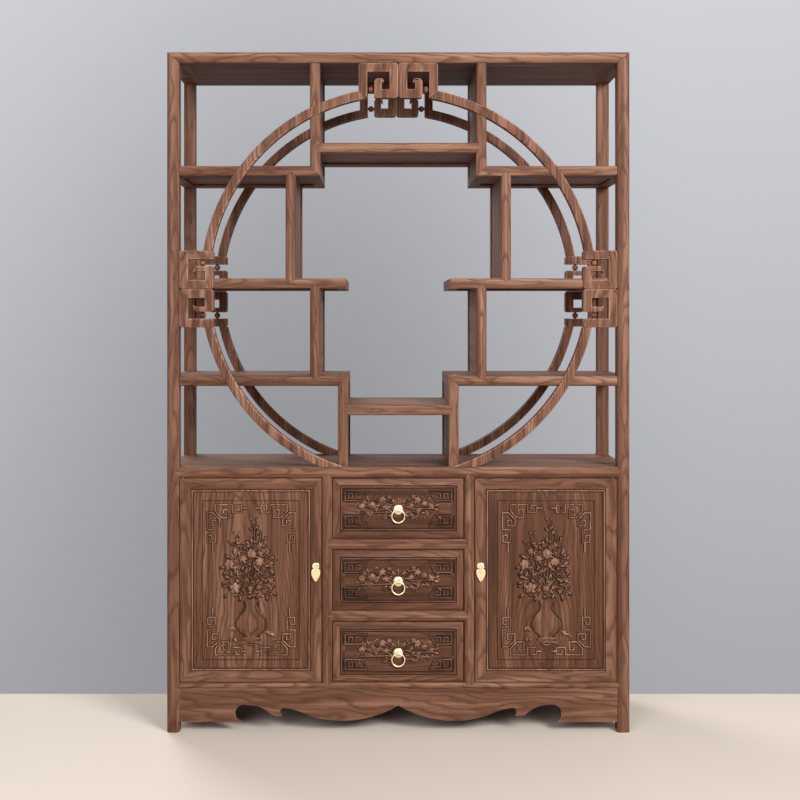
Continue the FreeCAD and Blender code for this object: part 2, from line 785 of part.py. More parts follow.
def door_frame(side):
    """Two stiles and two rails, mitred at the corners, grooved for the panel."""
    hinge, free, bottom, top = door_limits(side)
    front, back = plane_of(face_bow, FRONT), plane_of(face_bow + door_thickness, FRONT)
    wide = door_frame_width
    inwards = math.copysign(1, free - hinge)
    hinge_stile = box(hinge, hinge + inwards * wide, front, back, bottom, top)
    free_stile = box(free, free - inwards * wide, front, back, bottom, top)
    lower = box(hinge, free, front, back, bottom, bottom + wide)
    upper = box(hinge, free, front, back, top - wide, top)
    pieces = {"hinge": hinge_stile, "free": free_stile, "lower": lower, "upper": upper}
    for edge, across in (("hinge", inwards), ("free", -inwards)):
        x = hinge if edge == "hinge" else free
        for rail, z, rise in (("lower", bottom, 1), ("upper", top, -1)):
            corner = Vector(x, 0, z)
            to_rail = Vector(across, 0, -rise)
            pieces[edge] = cut_beyond(pieces[edge], corner, to_rail)
            pieces[rail] = cut_beyond(pieces[rail], corner, to_rail * -1)
    x, y = pivot_axis(side)
    bore = cylinder(Vector(x, y, bottom - overrun), Vector(x, y, bottom + pivot_reach + overrun),
                    pivot_diameter + 2 * pivot_clearance)
    upper_bore = cylinder(Vector(x, y, top - pivot_reach - overrun), Vector(x, y, top + overrun),
                          pivot_diameter + 2 * pivot_clearance)
    nose = box(hinge, x, front, y, bottom, top).cut(
        cylinder(Vector(x, y, bottom), Vector(x, y, top), 2 * pivot_inset))
    return carved(pieces.values(), [bore, upper_bore, nose, door_panel_blank(side)])


def door_panel_blank(side):
    """Board of the panel with the tongue that its frame holds."""
    hinge, free, bottom, top = door_limits(side)
    inwards = math.copysign(1, free - hinge)
    edge = door_frame_width - tongue_reach
    near = plane_of(face_bow + panel_ground_depth + tongue_thickness / 2, FRONT)
    return box(hinge + inwards * edge, free - inwards * edge, near, near + tongue_thickness,
               bottom + edge, top - edge)


def panel_layer(side, inset, near, far):
    """Layer of a door panel between two planes, this far inside the frame's inner edge."""
    hinge, free, bottom, top = door_limits(side)
    inwards = math.copysign(1, free - hinge)
    edge = door_frame_width + inset
    return box(hinge + inwards * edge, free - inwards * edge, plane_of(face_bow + near, FRONT),
               plane_of(face_bow + far, FRONT), bottom + edge, top - edge)


def door_panel(side):
    """Carved board: a bead along the frame, a rising band, and a raised field behind a groove."""
    board = panel_layer(side, 0, panel_ground_depth, panel_ground_depth + door_panel_thickness)
    board = board.fuse(door_panel_blank(side))
    rim = panel_layer(side, 0, panel_bead_depth, panel_ground_depth)
    rim = rim.cut(panel_layer(side, panel_bead_width, panel_bead_depth, panel_ground_depth))
    hinge, free, bottom, top = door_limits(side)
    inwards = math.copysign(1, free - hinge)
    loops = []
    for inset, depth in ((panel_bead_width, panel_ground_depth),
                         (panel_bead_width + panel_band_width, panel_field_depth)):
        edge = door_frame_width + inset
        x0, x1, y = hinge + inwards * edge, free - inwards * edge, plane_of(face_bow + depth, FRONT)
        corners = [Vector(x0, y, bottom + edge), Vector(x1, y, bottom + edge),
                   Vector(x1, y, top - edge), Vector(x0, y, top - edge)]
        loops.append(Part.makePolygon(corners + corners[:1]))
    band = Part.makeLoft(loops, True, True)
    board = board.fuse([rim, band]).removeSplitter()
    groove_inset = panel_bead_width + panel_band_width
    groove = panel_layer(side, groove_inset, panel_field_depth - overrun,
                         panel_field_depth + panel_groove_depth)
    groove = groove.cut(panel_layer(side, groove_inset + panel_groove_width,
                                    panel_field_depth - overrun, panel_field_depth + panel_groove_depth))
    return board.cut(groove)


def pull_centre(side):
    """Middle of a door pull's plate, on the face of the free stile."""
    _, free, _, _ = door_limits(side)
    return Vector(free + side * door_frame_width / 2, plane_of(face_bow, FRONT), plate_level)


def pull_pin(side, half_length):
    """Ends of a bar along the line that the drop swings about."""
    centre = pull_centre(side)
    y = centre.y - plate_thickness - drop_back_clearance - drop_barrel_diameter / 2
    z = centre.z - pin_drop
    return Vector(centre.x - half_length, y, z), Vector(centre.x + half_length, y, z)


def pull_plate(side):
    """Round brass plate with a stem through the door and two lugs with a pin between them."""
    centre = pull_centre(side)
    face = centre.y - plate_thickness
    back = centre.y + door_thickness
    plate = turned(centre, Vector(centre.x, face, centre.z), ((0, plate_diameter / 2), (1, plate_diameter / 2)),
                   disc_sides)
    pieces = [rod(centre, Vector(centre.x, back, centre.z), pull_stem_diameter)]
    inner, outer = lug_spread / 2, lug_spread / 2 + lug_thickness
    pin_start, pin_end = pull_pin(side, outer)
    for end, _ in SIDES:
        near, far = pin_start + X_AXIS * (outer + end * inner), pin_start + X_AXIS * (outer + end * outer)
        pieces.append(rod(near, far, 2 * lug_radius))
        pieces.append(box(near.x, far.x, near.y, face, near.z - lug_radius / 2, near.z + lug_radius / 2))
    pieces.append(cylinder(pin_start, pin_end, drop_pin_diameter))
    return plate.fuse(pieces).removeSplitter()


def pull_drop(side):
    """Leaf-shaped drop, which hangs from the plate's pin by a barrel."""
    half_barrel = lug_spread / 2 - drop_side_clearance
    start, end = pull_pin(side, half_barrel)
    middle = (start + end) / 2
    back = middle.y + drop_thickness / 2
    wide = drop_width / 2
    outline = drop_outline_shares + tuple((down, -across) for down, across in drop_outline_shares[-2::-1])
    points = [Vector(middle.x + wide * across, back, middle.z - drop_length * down) for down, across in outline]
    leaf = Part.Face(Part.makePolygon(points + points[:1])).extrude(Y_AXIS * -drop_thickness)
    bore = cylinder(*pull_pin(side, drop_width), drop_pin_diameter + 2 * drop_pin_clearance)
    return rod(start, end, drop_barrel_diameter).fuse(leaf).removeSplitter().cut(bore)


def drawer_front(level):
    """Board with a sunk field for carving, stepped at its sides, inside a bead and a groove."""
    half = stile_offset - drawer_gap
    face = plane_of(face_bow, FRONT)
    low, high = level + drawer_gap, level + drawer_opening_height - drawer_gap
    middle = (low + high) / 2
    board = box(-half, half, face, face + drawer_front_thickness, low, high)
    floor = face + carved_field_depth
    wide, tall = half - field_side_margin, (high - low) / 2 - field_end_margin
    field = box(-wide + field_step_depth, wide - field_step_depth, face - overrun, floor,
                middle - tall, middle + tall)
    for side, _ in SIDES:
        for rise in (-1, 1):
            field = field.fuse(box(side * (wide - field_step_depth), side * wide, face - overrun, floor,
                                   middle + rise * field_step_height / 2, middle + rise * tall))
    inner = field_bead_width
    outer = field_bead_width + field_groove_width
    groove = box(-wide - outer, wide + outer, face - overrun, face + field_groove_depth,
                 middle - tall - outer, middle + tall + outer)
    groove = groove.cut(box(-wide - inner, wide + inner, face - overrun, face + field_groove_depth,
                            middle - tall - inner, middle + tall + inner))
    return board.cut([field.removeSplitter(), groove, boss_stem(level)])


def drawer_box(level):
    """Two sides, a back and a bottom let into their grooves, behind the drawer's front."""
    front = plane_of(face_bow + drawer_front_thickness, FRONT)
    back = back_panel_front - drawer_back_clearance
    low = level + slide_clearance
    top = low + drawer_side_height
    wall = drawer_half_width - drawer_side_thickness
    floor = low + drawer_bottom_inset
    groove_end = wall + tongue_reach
    bottom = box(-groove_end, groove_end, front, back - drawer_side_thickness + tongue_reach,
                 floor, floor + drawer_bottom_thickness)
    pieces = [box(side * wall, side * drawer_half_width, front, back, low, top) for side, _ in SIDES]
    pieces.append(box(-wall, wall, back - drawer_side_thickness, back, low, top))
    return carved(pieces, [bottom]) + [bottom]


def boss_centre(level):
    """Middle of a pull's boss, on the floor of the carved field."""
    floor = plane_of(face_bow + carved_field_depth, FRONT)
    return Vector(0, floor, level + drawer_opening_height / 2 - boss_drop)


def boss_stem(level):
    """Stem of a boss, through the drawer's front."""
    centre = boss_centre(level)
    back = plane_of(face_bow + drawer_front_thickness, FRONT)
    return rod(centre, Vector(centre.x, back, centre.z), pull_stem_diameter)


def pull_axis(level, half_length):
    """Ends of a bar along the line that a pull's ring swings about."""
    centre = boss_centre(level)
    y = centre.y - boss_height - boss_clearance - pull_wire / 2
    return Vector(-half_length, y, centre.z), Vector(half_length, y, centre.z)


def pull_boss(level):
    """Domed brass boss with an eye for the ring and a stem through the drawer's front."""
    centre = boss_centre(level)
    radius = boss_diameter / 2
    outline = [(share, radius * narrowing) for share, narrowing in boss_outline_shares]
    dome = turned(centre, centre - Y_AXIS * boss_height, outline, disc_sides)
    start, end = pull_axis(level, eye_width / 2)
    eye_radius = pull_wire / 2 + eye_clearance + eye_wall
    eye = rod(start, end, 2 * eye_radius)
    web = box(start.x, end.x, start.y, centre.y, start.z - eye_radius / 2, start.z + eye_radius / 2)
    boss = dome.fuse([eye, web, boss_stem(level)]).removeSplitter()
    return boss.cut(cylinder(start, end, pull_wire + 2 * eye_clearance))


def pull_ring(level):
    """Wire ring that hangs in the boss's eye."""
    top, _ = pull_axis(level, 0)
    radius = (pull_ring_diameter - pull_wire) / 2
    centre = top - Z_AXIS * radius
    rings = []
    for index in range(disc_sides):
        turn = 2 * math.pi * index / disc_sides
        spoke = X_AXIS * math.sin(turn) + Z_AXIS * math.cos(turn)
        around = [2 * math.pi * (corner + 0.5) / rod_sides for corner in range(rod_sides)]
        rings.append([centre + spoke * (radius + pull_wire / 2 * math.cos(angle))
                      + Y_AXIS * (pull_wire / 2 * math.sin(angle)) for angle in around])
    return faceted(rings, True)


def save(name, solids):
    """One STEP file for a node, with every solid that it holds."""
    shape = solids[0] if len(solids) == 1 else Part.makeCompound(solids)
    shape.exportStep("parts/" + name + ".step")


# Members as they come off the bench, before their neighbours are cut to receive them
counter_rails = level_frame(counter_level, counter_rail_height, tenon_length)
base_rails = level_frame(base_level, base_rail_height, tenon_length)
top_rails = [top_rail(facing) for facing, _ in FACES] + [top_side_rail(side) for side, _ in SIDES]
top_inner = half_depth - face_bow - rail_depth
top_board = tongued_panel(-half_width + rail_depth, half_width - rail_depth, -top_inner, top_inner,
                          top_underside, top_underside + frame_panel_thickness,
                          top_underside + tongue_thickness)
counter_board, base_board = frame_panel(counter_level), frame_panel(base_level)
stiles = [stile(side) for side, _ in SIDES]
drawer_step = drawer_opening_height + drawer_rail_height
drawer_levels = [counter_underside - drawer_opening_height - index * drawer_step for index in range(3)]
drawer_rails = [drawer_rail(level) for level in drawer_levels[:2]]
side_panels = [side_panel(side) for side, _ in SIDES]
rear_panel = back_panel()
battens = [counter_batten(side) for side, _ in SIDES]
pivots = [pin for side, _ in SIDES for pin in door_pivots(side)]

top_level, middle_level, lower_level = [shelf_levels[name] for name in ("top", "middle", "lower")]
shelf_ends = {
    "top": (top_upright_offset, 1), "middle": (middle_shelf_end, 0), "lower": (fourth_upright_offset, -1),
}
side_shelves = {
    name + "_shelf_" + side_name: side_shelf(side, shelf_levels[name], offset, corner_turn)
    for name, (offset, corner_turn) in shelf_ends.items() for side, side_name in SIDES
}
centre_shelves = {
    "top_centre_shelf": centre_shelf(shelf_levels["top_centre"], top_upright_offset),
    "lower_centre_shelf": centre_shelf(shelf_levels["lower_centre"], fourth_upright_offset),
}

top_low, middle_low = top_level - shelf_height, middle_level - shelf_height
butt, pointed = (False, tenon_length, 0), (True, tenon_length, 0)
foot_mitre, head_mitre = (False, 0, 1), (False, 0, -1)
upright_ends = {
    "top_uprights": (top_upright_offset, (top_low, *foot_mitre), (top_underside, *butt)),
    "second_uprights": (second_upright_offset, (middle_level, *pointed), (top_low, *pointed)),
    "third_uprights": (third_upright_offset, (lower_level, *pointed), (middle_low, *pointed)),
    "fourth_uprights": (fourth_upright_offset, (counter_level, *butt), (lower_level, *head_mitre)),
}
uprights = {
    name: [piece for side, _ in SIDES for piece in upright(side, offset, bottom, top)]
    for name, (offset, bottom, top) in upright_ends.items()
}

# Front halves of the rings and frets, which the shelves and uprights are lapped for
half_laps = []
for facing, _ in FACES:
    for side, _ in SIDES:
        half_laps += [upper_arc(side, facing, fret_depth / 2), lower_arc(side, facing, fret_depth / 2)]
        half_laps += [side_fret(side, facing, fret_depth / 2, flip) for flip in (1, -1)]

centre_rails = [piece for pieces in centre_shelves.values() for piece in pieces]
all_upright_pieces = [piece for pieces in uprights.values() for piece in pieces]
side_shelves = {name: carved(pieces, all_upright_pieces + half_laps) for name, pieces in side_shelves.items()}
uprights = {name: carved(pieces, centre_rails + half_laps) for name, pieces in uprights.items()}
all_upright_pieces = [piece for pieces in uprights.values() for piece in pieces]
all_shelf_pieces = [piece for pieces in side_shelves.values() for piece in pieces]
lapped = all_upright_pieces + all_shelf_pieces

posts = {"post_" + face_name + "_" + side_name: [post(side, facing)]
         for facing, face_name in FACES for side, side_name in SIDES}
post_tools = counter_rails + base_rails + side_panels + [rear_panel] + all_shelf_pieces
for name, pieces in posts.items():
    save(name, carved(pieces, post_tools))

save("top_frame", carved(top_rails, [top_board] + all_upright_pieces))
save("top_panel", [top_board])
counter_tools = [counter_board, rear_panel] + stiles + side_panels + pivots + all_upright_pieces
save("counter_frame", carved(counter_rails, counter_tools) + battens)
save("counter_panel", [counter_board])
save("base_frame", carved(base_rails, [base_board, rear_panel] + stiles + side_panels + pivots))
save("base_panel", [base_board])
save("front_apron", [front_apron()])
save("side_aprons", [side_apron(side) for side, _ in SIDES])
save("centre_stiles", carved(stiles, drawer_rails))
save("drawer_rails", drawer_rails)
save("side_panels", side_panels)
save("back_panel", [rear_panel])
save("partitions", [partition(side) for side, _ in SIDES])
runners = [drawer_runner(side, level) for side, _ in SIDES for level in drawer_levels[:2]]
save("drawer_runners", runners + [drawer_guide(side, level) for side, _ in SIDES for level in drawer_levels])
save("door_stops", [door_stop(side) for side, _ in SIDES])
save("door_pivots", pivots)

for name, pieces in {**side_shelves, **centre_shelves, **uprights}.items():
    save(name, pieces)

for facing, face_name in FACES:
    uppers = [upper_arc(side, facing, fret_depth) for side, _ in SIDES]
    lowers = [lower_arc(side, facing, fret_depth) for side, _ in SIDES]
    save(face_name + "_ring_upper", carved(uppers, lapped))
    save(face_name + "_ring_lower", carved(lowers, lapped))
    top_beads = [top_bead(side, facing) for side, _ in SIDES]
    top_frets = [top_fret(side, facing, fret_depth) for side, _ in SIDES]
    save(face_name + "_top_frets", top_frets + top_beads)
    side_beads = [side_bead(side, facing, flip) for side, _ in SIDES for flip in (1, -1)]
    side_frets = [side_fret(side, facing, fret_depth, flip) for side, _ in SIDES for flip in (1, -1)]
    save(face_name + "_side_frets", carved(side_frets, lapped) + side_beads)

for side, side_name in SIDES:
    plate = pull_plate(side)
    save(side_name + "_door_frame", carved(door_frame(side), [plate]))
    save(side_name + "_door_panel", [door_panel(side)])
    save(side_name + "_pull_plate", [plate])
    save(side_name + "_pull_drop", [pull_drop(side)])

for level, name in zip(drawer_levels, ("top", "middle", "bottom")):
    save(name + "_drawer_front", [drawer_front(level)])
    save(name + "_drawer_box", drawer_box(level))
    save(name + "_pull_boss", [pull_boss(level)])
    save(name + "_pull_ring", [pull_ring(level)])
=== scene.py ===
import math
import random
from collections import Counter

import bmesh
import bpy
from mathutils import Matrix, Vector


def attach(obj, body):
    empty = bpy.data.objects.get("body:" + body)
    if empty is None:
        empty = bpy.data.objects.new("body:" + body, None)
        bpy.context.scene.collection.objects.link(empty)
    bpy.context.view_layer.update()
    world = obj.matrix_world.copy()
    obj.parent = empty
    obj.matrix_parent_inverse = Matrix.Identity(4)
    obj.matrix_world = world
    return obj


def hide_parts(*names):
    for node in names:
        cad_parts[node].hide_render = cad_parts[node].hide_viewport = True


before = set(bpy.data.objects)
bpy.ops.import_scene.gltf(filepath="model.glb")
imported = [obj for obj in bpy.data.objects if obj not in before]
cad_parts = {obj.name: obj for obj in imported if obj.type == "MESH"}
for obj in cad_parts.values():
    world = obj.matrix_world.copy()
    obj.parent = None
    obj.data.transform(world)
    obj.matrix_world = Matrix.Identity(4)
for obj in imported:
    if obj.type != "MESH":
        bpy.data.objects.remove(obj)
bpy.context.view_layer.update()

bpy.ops.object.select_all(action="DESELECT")


# Corner posts. Four sticks of ash, stained walnut brown, planed with a slightly bowed face.
# Their long edges are eased by hand, and their heads are mitred into the top rails.
def linear(code):
    """sRGB hex colour as linear red, green, blue and alpha."""
    shares = [int(code[place:place + 2], 16) / 255 for place in (1, 3, 5)]
    return [share / 12.92 if share <= 0.04045 else ((share + 0.055) / 1.055) ** 2.4 for share in shares] + [1]


def set_inputs(node, inputs):
    """Sets a node's inputs, or links them to a socket or to the first output of a node."""
    for key, value in inputs.items():
        if isinstance(value, bpy.types.Node):
            value = value.outputs[0]
        if isinstance(value, bpy.types.NodeSocket):
            node.id_data.links.new(value, node.inputs[key])
        else:
            node.inputs[key].default_value = value


def add_node(tree, kind, inputs, **settings):
    """Adds a node with its inputs and its settings."""
    node = tree.nodes.new("ShaderNode" + kind)
    for key, value in settings.items():
        setattr(node, key, value)
    set_inputs(node, inputs)
    return node


def colour_ramp(node, stops):
    """Gives a colour ramp its stops, each a place and a hex colour."""
    elements = node.color_ramp.elements
    while len(elements) > 1:
        elements.remove(elements[-1])
    elements[0].position, elements[0].color = stops[0][0], linear(stops[0][1])
    for place, code in stops[1:]:
        elements.new(place).color = linear(code)


def new_material(name):
    """A new material, with its node tree and its shader."""
    material = bpy.data.materials.new(name)
    material.use_nodes = True
    return material, material.node_tree, material.node_tree.nodes["Principled BSDF"]


def stained_ash(name, worn_lit_colour, light, middle, dark, pore):
    """Ash, planed, stained and given a satin lacquer. Its year rings show as flames and stripes along
    the board, its open pores as short dark dashes along the rings. The lacquer softens the shine."""
    material, tree, shader = new_material(name)
    grain = add_node(tree, "Attribute", {}, attribute_name="grain").outputs["Vector"]
    tone = add_node(tree, "Attribute", {}, attribute_name="tone").outputs["Fac"]

    def stretched(along, across):
        """The grain's own coordinates, so many repeats to the metre along and across it."""
        return add_node(tree, "VectorMath", {0: grain, 1: (along, across, across)}, operation="MULTIPLY")

    # The trunk leans and bulges, over about 250 mm along and 60 mm across, which bends the rings
    drift = add_node(tree, "TexNoise", {
        "Vector": stretched(4, 17), "Scale": 1.0, "Detail": 2.0, "Roughness": 0.45})
    along = add_node(tree, "SeparateXYZ", {"Vector": grain}).outputs["X"]
    heart = add_node(tree, "VectorMath", {0: stretched(0, 1)}, operation="LENGTH").outputs["Value"]
    leaning = add_node(tree, "Math", {0: along, 1: 0.035, 2: heart}, operation="MULTIPLY_ADD")
    warped = add_node(tree, "Math", {0: drift, 1: 0.05, 2: leaning}, operation="MULTIPLY_ADD")
    # Year rings 8 mm apart
    rings = add_node(tree, "Math", {0: warped, 1: 0.008}, operation="DIVIDE")
    ring = add_node(tree, "Math", {0: rings}, operation="FRACT")
    early = add_node(tree, "MapRange", {
        "Value": ring, "From Max": 0.45, "To Min": 1.0, "To Max": 0.0}, interpolation_type="SMOOTHSTEP")
    late = add_node(tree, "MapRange", {"Value": ring, "From Min": 0.82}, interpolation_type="SMOOTHSTEP")
    band = add_node(tree, "Math", {0: early, 1: late}, operation="MAXIMUM")
    # Real pores are 0.3 mm wide. Here they are drawn 1.2 mm wide and 25 mm long, so that they show
    pores = add_node(tree, "TexNoise", {
        "Vector": stretched(40, 800), "Scale": 1.0, "Detail": 1.0, "Roughness": 0.5})
    dashes = add_node(tree, "MapRange", {"Value": pores, "From Min": 0.5, "From Max": 0.68})
    depth = add_node(tree, "Math", {0: band, 1: 0.75, 2: 0.25}, operation="MULTIPLY_ADD")
    open_pores = add_node(tree, "Math", {0: dashes, 1: depth}, operation="MULTIPLY", use_clamp=True)
    # Broad lighter and darker stripes, about 25 mm across and half a metre long
    stripes = add_node(tree, "TexNoise", {
        "Vector": stretched(2.2, 42), "Scale": 1.0, "Detail": 3.0, "Roughness": 0.55})
    toned = add_node(tree, "Math", {0: stripes, 1: tone}, operation="ADD")
    body = add_node(tree, "ValToRGB", {"Fac": toned})
    # The lightest stop shows worn edges and also the painted highlights on carving tops and rounded edges
    colour_ramp(body, ((0.0, pore), (0.27, dark), (0.5, middle), (0.74, light), (1.0, worn_lit_colour)))
    shown = body
    for share, most, code in ((band, 0.62, dark), (open_pores, 0.6, pore)):
        factor = add_node(tree, "Math", {0: share, 1: most}, operation="MULTIPLY")
        shown = add_node(tree, "Mix", {
            "Factor": factor, "A": shown, "B": linear(code)}, data_type="RGBA").outputs["Result"]
    rough = add_node(tree, "Math", {0: open_pores, 1: 0.15, 2: 0.56}, operation="MULTIPLY_ADD")
    relief = add_node(tree, "Bump", {
        "Height": open_pores, "Strength": 0.35, "Distance": 0.0004}, invert=True)
    set_inputs(shader, {
        "Base Color": shown, "Specular IOR Level": 0.24, "Roughness": rough, "Normal": relief})
    return material


frame_ash = stained_ash("ash_walnut_stain_satin", "#b28b74", "#a0765f", "#7f5641", "#5a3726", "#2b150d")
wood_chance = random.Random(7)


def give_grain(piece, along=None, lighter=0.0):
    """Writes where each point of a piece lies in its trunk: along the grain, across it, and away from
    the heart, which lies behind the piece."""
    mesh = piece.data
    spots = [vertex.co.copy() for vertex in mesh.vertices]
    low = [min(spot[axis] for spot in spots) for axis in range(3)]
    high = [max(spot[axis] for spot in spots) for axis in range(3)]
    spans = [high[axis] - low[axis] for axis in range(3)]
    if along is None:
        along = spans.index(max(spans))
    across, deep = [axis for axis in (0, 2, 1) if axis != along][:2]
    start = wood_chance.uniform(0, 20)
    shift = wood_chance.uniform(-0.04, 0.04)
    heart = wood_chance.uniform(0.05, 0.14)
    shade = wood_chance.uniform(-0.05, 0.05) + lighter
    worn_and_lit_share = [0.0] * len(spots)
    if "edge_wear_highlight" in mesh.attributes:
        worn_and_lit_share = [spot.value for spot in mesh.attributes["edge_wear_highlight"].data]
        mesh.attributes.remove(mesh.attributes["edge_wear_highlight"])
    mesh.attributes.new("grain", "FLOAT_VECTOR", "POINT")
    mesh.attributes.new("tone", "FLOAT", "POINT")
    grain, tone = mesh.attributes["grain"], mesh.attributes["tone"]
    for vertex, spot in zip(mesh.vertices, spots):
        grain.data[vertex.index].vector = (
            spot[along] + start, spot[across] - (low[across] + high[across]) / 2 + shift,
            spot[deep] - low[deep] + heart)
        # Rounded edges are lighter, partly from real wear and partly as a painted highlight
        tone.data[vertex.index].value = shade + 0.3 * worn_and_lit_share[vertex.index]


def mark_edge_wear_and_highlight(piece, is_rounded, amount=1.0):
    """Notes the points on the rounded edges, where the stain is rubbed thin and the wood is lighter, and
    which are painted lighter still as a painted highlight.
    """
    edge_wear_highlight = piece.data.attributes.new("edge_wear_highlight", "FLOAT", "POINT")
    for vertex in piece.data.vertices:
        edge_wear_highlight.data[vertex.index].value = amount * is_rounded(vertex)


def turned_points(mesh, way):
    """The points along the middle of a rounding, where the faces that run this way turn by about 45 degrees,
    which get wear and a painted highlight. Where they turn by 90, boards meet in a square inner corner, which
    gets neither."""
    shape = bmesh.new()
    shape.from_mesh(mesh)
    found = set()
    for vertex in shape.verts:
        sides = [face.normal for face in vertex.link_faces if abs(face.normal.dot(way)) < 0.3]
        widest = max((one.angle(other, 0.0) for one in sides for other in sides), default=0.0)
        if math.radians(30) < widest < math.radians(60):
            found.add(vertex.index)
    shape.free()
    return found


def solids_of(node):
    """The closed solids of a node, one after the other, each as its corners and its faces."""
    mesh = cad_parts[node].data
    solids, numbers, corners, faces, open_edges = [], {}, [], [], Counter()
    for polygon in mesh.polygons:
        face = []
        for index in polygon.vertices:
            spot = tuple(round(value, 6) for value in mesh.vertices[index].co)
            if spot not in numbers:
                numbers[spot] = len(corners)
                corners.append(spot)
            face.append(numbers[spot])
        if len(set(face)) < 3:
            continue
        faces.append(face)
        for start, end in zip(face, face[1:] + face[:1]):
            if open_edges[end, start]:
                open_edges[end, start] -= 1
            else:
                open_edges[start, end] += 1
        if not any(open_edges.values()):
            solids.append((corners, faces))
            numbers, corners, faces, open_edges = {}, [], [], Counter()
    return solids


def place_object(name, data):
    """Puts an object with this mesh, curve, lamp or camera into the scene."""
    piece = bpy.data.objects.new(name, data)
    bpy.context.collection.objects.link(piece)
    return piece


def apply_modifier(piece, kind, **settings):
    """Adds a modifier with these settings to the active piece and applies it."""
    modifier = piece.modifiers.new(kind.lower(), kind)
    for key, value in settings.items():
        setattr(modifier, key, value)
    bpy.ops.object.modifier_apply(modifier=modifier.name)


def make_active(piece):
    """Selects this piece alone."""
    bpy.ops.object.select_all(action="DESELECT")
    piece.select_set(True)
    bpy.context.view_layer.objects.active = piece


def joined(name, pieces):
    """Makes one object of several."""
    make_active(pieces[0])
    for piece in pieces:
        piece.select_set(True)
    if len(pieces) > 1:
        bpy.ops.object.join()
    pieces[0].name = name
    pieces[0].data.name = name
    bpy.ops.object.select_all(action="DESELECT")
    return pieces[0]


def smooth(piece, angle):
    """Smooth shading with flat faces kept flat beside their rounded edges."""
    bpy.ops.object.shade_smooth_by_angle(angle=math.radians(angle))
    apply_modifier(piece, "WEIGHTED_NORMAL", keep_sharp=True)


def finish(piece, body, material, *nodes):
    """Gives a piece its material in its one slot and its body, and hides the nodes it stands for."""
    piece.data.materials.clear()
    piece.data.materials.append(material)
    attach(piece, body)
    if nodes:
        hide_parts(*nodes)


def planed(node, body="carcass", material=frame_ash, easing=0.003, along=None, lighter=0.0):
    """Finishes the sawn solids of a node: long edges eased well, the others just broken, and a grain
    of its own for each."""
    end_easing = 0.0007
    pieces = []
    for number, (corners, faces) in enumerate(solids_of(node)):
        mesh = bpy.data.meshes.new(f"{node}_{number}")
        mesh.from_pydata(corners, [], faces)
        piece = place_object(mesh.name, mesh)
        make_active(piece)
        bpy.ops.object.mode_set(mode="EDIT")
        bpy.ops.mesh.select_all(action="SELECT")
        bpy.ops.mesh.dissolve_limited(angle_limit=math.radians(1))
        bpy.ops.mesh.quads_convert_to_tris(quad_method="BEAUTY", ngon_method="BEAUTY")
        bpy.ops.object.mode_set(mode="OBJECT")
        spans = piece.dimensions
        longest = Vector([1.0 if spans[axis] == max(spans) else 0.0 for axis in range(3)])
        shape = bmesh.new()
        shape.from_mesh(mesh)
        weight = shape.edges.layers.float.new("bevel_weight_edge")
        for edge in shape.edges:
            if len(edge.link_faces) == 2 and edge.is_convex and edge.calc_face_angle() > math.radians(30):
                run = edge.verts[1].co - edge.verts[0].co
                is_long = abs(run.normalized().dot(longest)) > 0.99
                edge[weight] = 1.0 if is_long else end_easing / easing
        shape.to_mesh(mesh)
        shape.free()
        apply_modifier(piece, "BEVEL", width=easing, segments=2, limit_method="WEIGHT",
                       use_clamp_overlap=False)
        # Rounded edges of the frame wood are marked for wear and a painted highlight
        if material is frame_ash:
            rounded = turned_points(piece.data, longest)
            mark_edge_wear_and_highlight(piece, lambda vertex: vertex.index in rounded, 0.6)
        smooth(piece, 35)
        give_grain(piece, along, lighter)
        pieces.append(piece)
    finish(joined(f"{node}_planed", pieces), body, material, node)


# The rear posts are painted a little darker, as painted shade, since they stand in the shade
for side in ("left", "right"):
    planed(f"post_front_{side}")
    planed(f"post_rear_{side}", lighter=-0.1)


# Top frame. Two long rails and two side rails of the same ash, mitred into the posts, carry a thin
# board that is let into their inner faces.
board_easing = 0.0022
planed("top_frame")
planed("top_panel", easing=board_easing)


# Counter. Rails and battens tenoned between the posts carry a board flush with the rails, and its
# edge shows as one full rail over the doors and drawers.
planed("counter_frame")
planed("counter_panel", easing=board_easing)


# Base. Thin rails with rounded upper edges run under the doors and round the sides, with a board let
# in between them. Side aprons under them stiffen the legs.
planed("base_frame", easing=0.004)
planed("base_panel", easing=board_easing)
planed("side_aprons", easing=board_easing)


# Front apron. One board sawn to ogee curves that meet in a raised point at the middle, set under the
# base rail between the posts, with its lower edge rounded by file.
mm = 0.001


def curved(first, middle, last, steps):
    """Points on the arc through three points, up to but without the last one."""
    (x1, z1), (x2, z2), (x3, z3) = first, middle, last
    turn = 2 * (x1 * (z2 - z3) + x2 * (z3 - z1) + x3 * (z1 - z2))
    squares = [x * x + z * z for x, z in (first, middle, last)]
    x0 = (squares[0] * (z2 - z3) + squares[1] * (z3 - z1) + squares[2] * (z1 - z2)) / turn
    z0 = (squares[0] * (x3 - x2) + squares[1] * (x1 - x3) + squares[2] * (x2 - x1)) / turn
    radius = math.hypot(x1 - x0, z1 - z0)
    angles = [math.atan2(z - z0, x - x0) for x, z in (first, middle, last)]
    way = 1 if turn > 0 else -1
    sweep = (angles[2] - angles[0]) * way % (2 * math.pi) * way
    return [(x0 + radius * math.cos(angles[0] + sweep * step / steps),
             z0 + radius * math.sin(angles[0] + sweep * step / steps), 0) for step in range(steps)]


def flat_face(name, spots):
    """A flat face with its corners at these points, in millimetres, and all of it selected to be edited."""
    bpy.ops.mesh.primitive_circle_add(vertices=len(spots), fill_type="NGON")
    piece = bpy.context.object
    piece.name = name
    for vertex, spot in zip(piece.data.vertices, spots):
        vertex.co = [value * mm for value in spot]
    bpy.ops.object.mode_set(mode="EDIT")
    bpy.ops.mesh.select_all(action="SELECT")
    return piece


def end_editing():
    """Turns all faces of the closed shape that is being edited outwards, and ends the editing."""
    bpy.ops.mesh.select_all(action="SELECT")
    bpy.ops.mesh.normals_make_consistent(inside=False)
    bpy.ops.object.mode_set(mode="OBJECT")


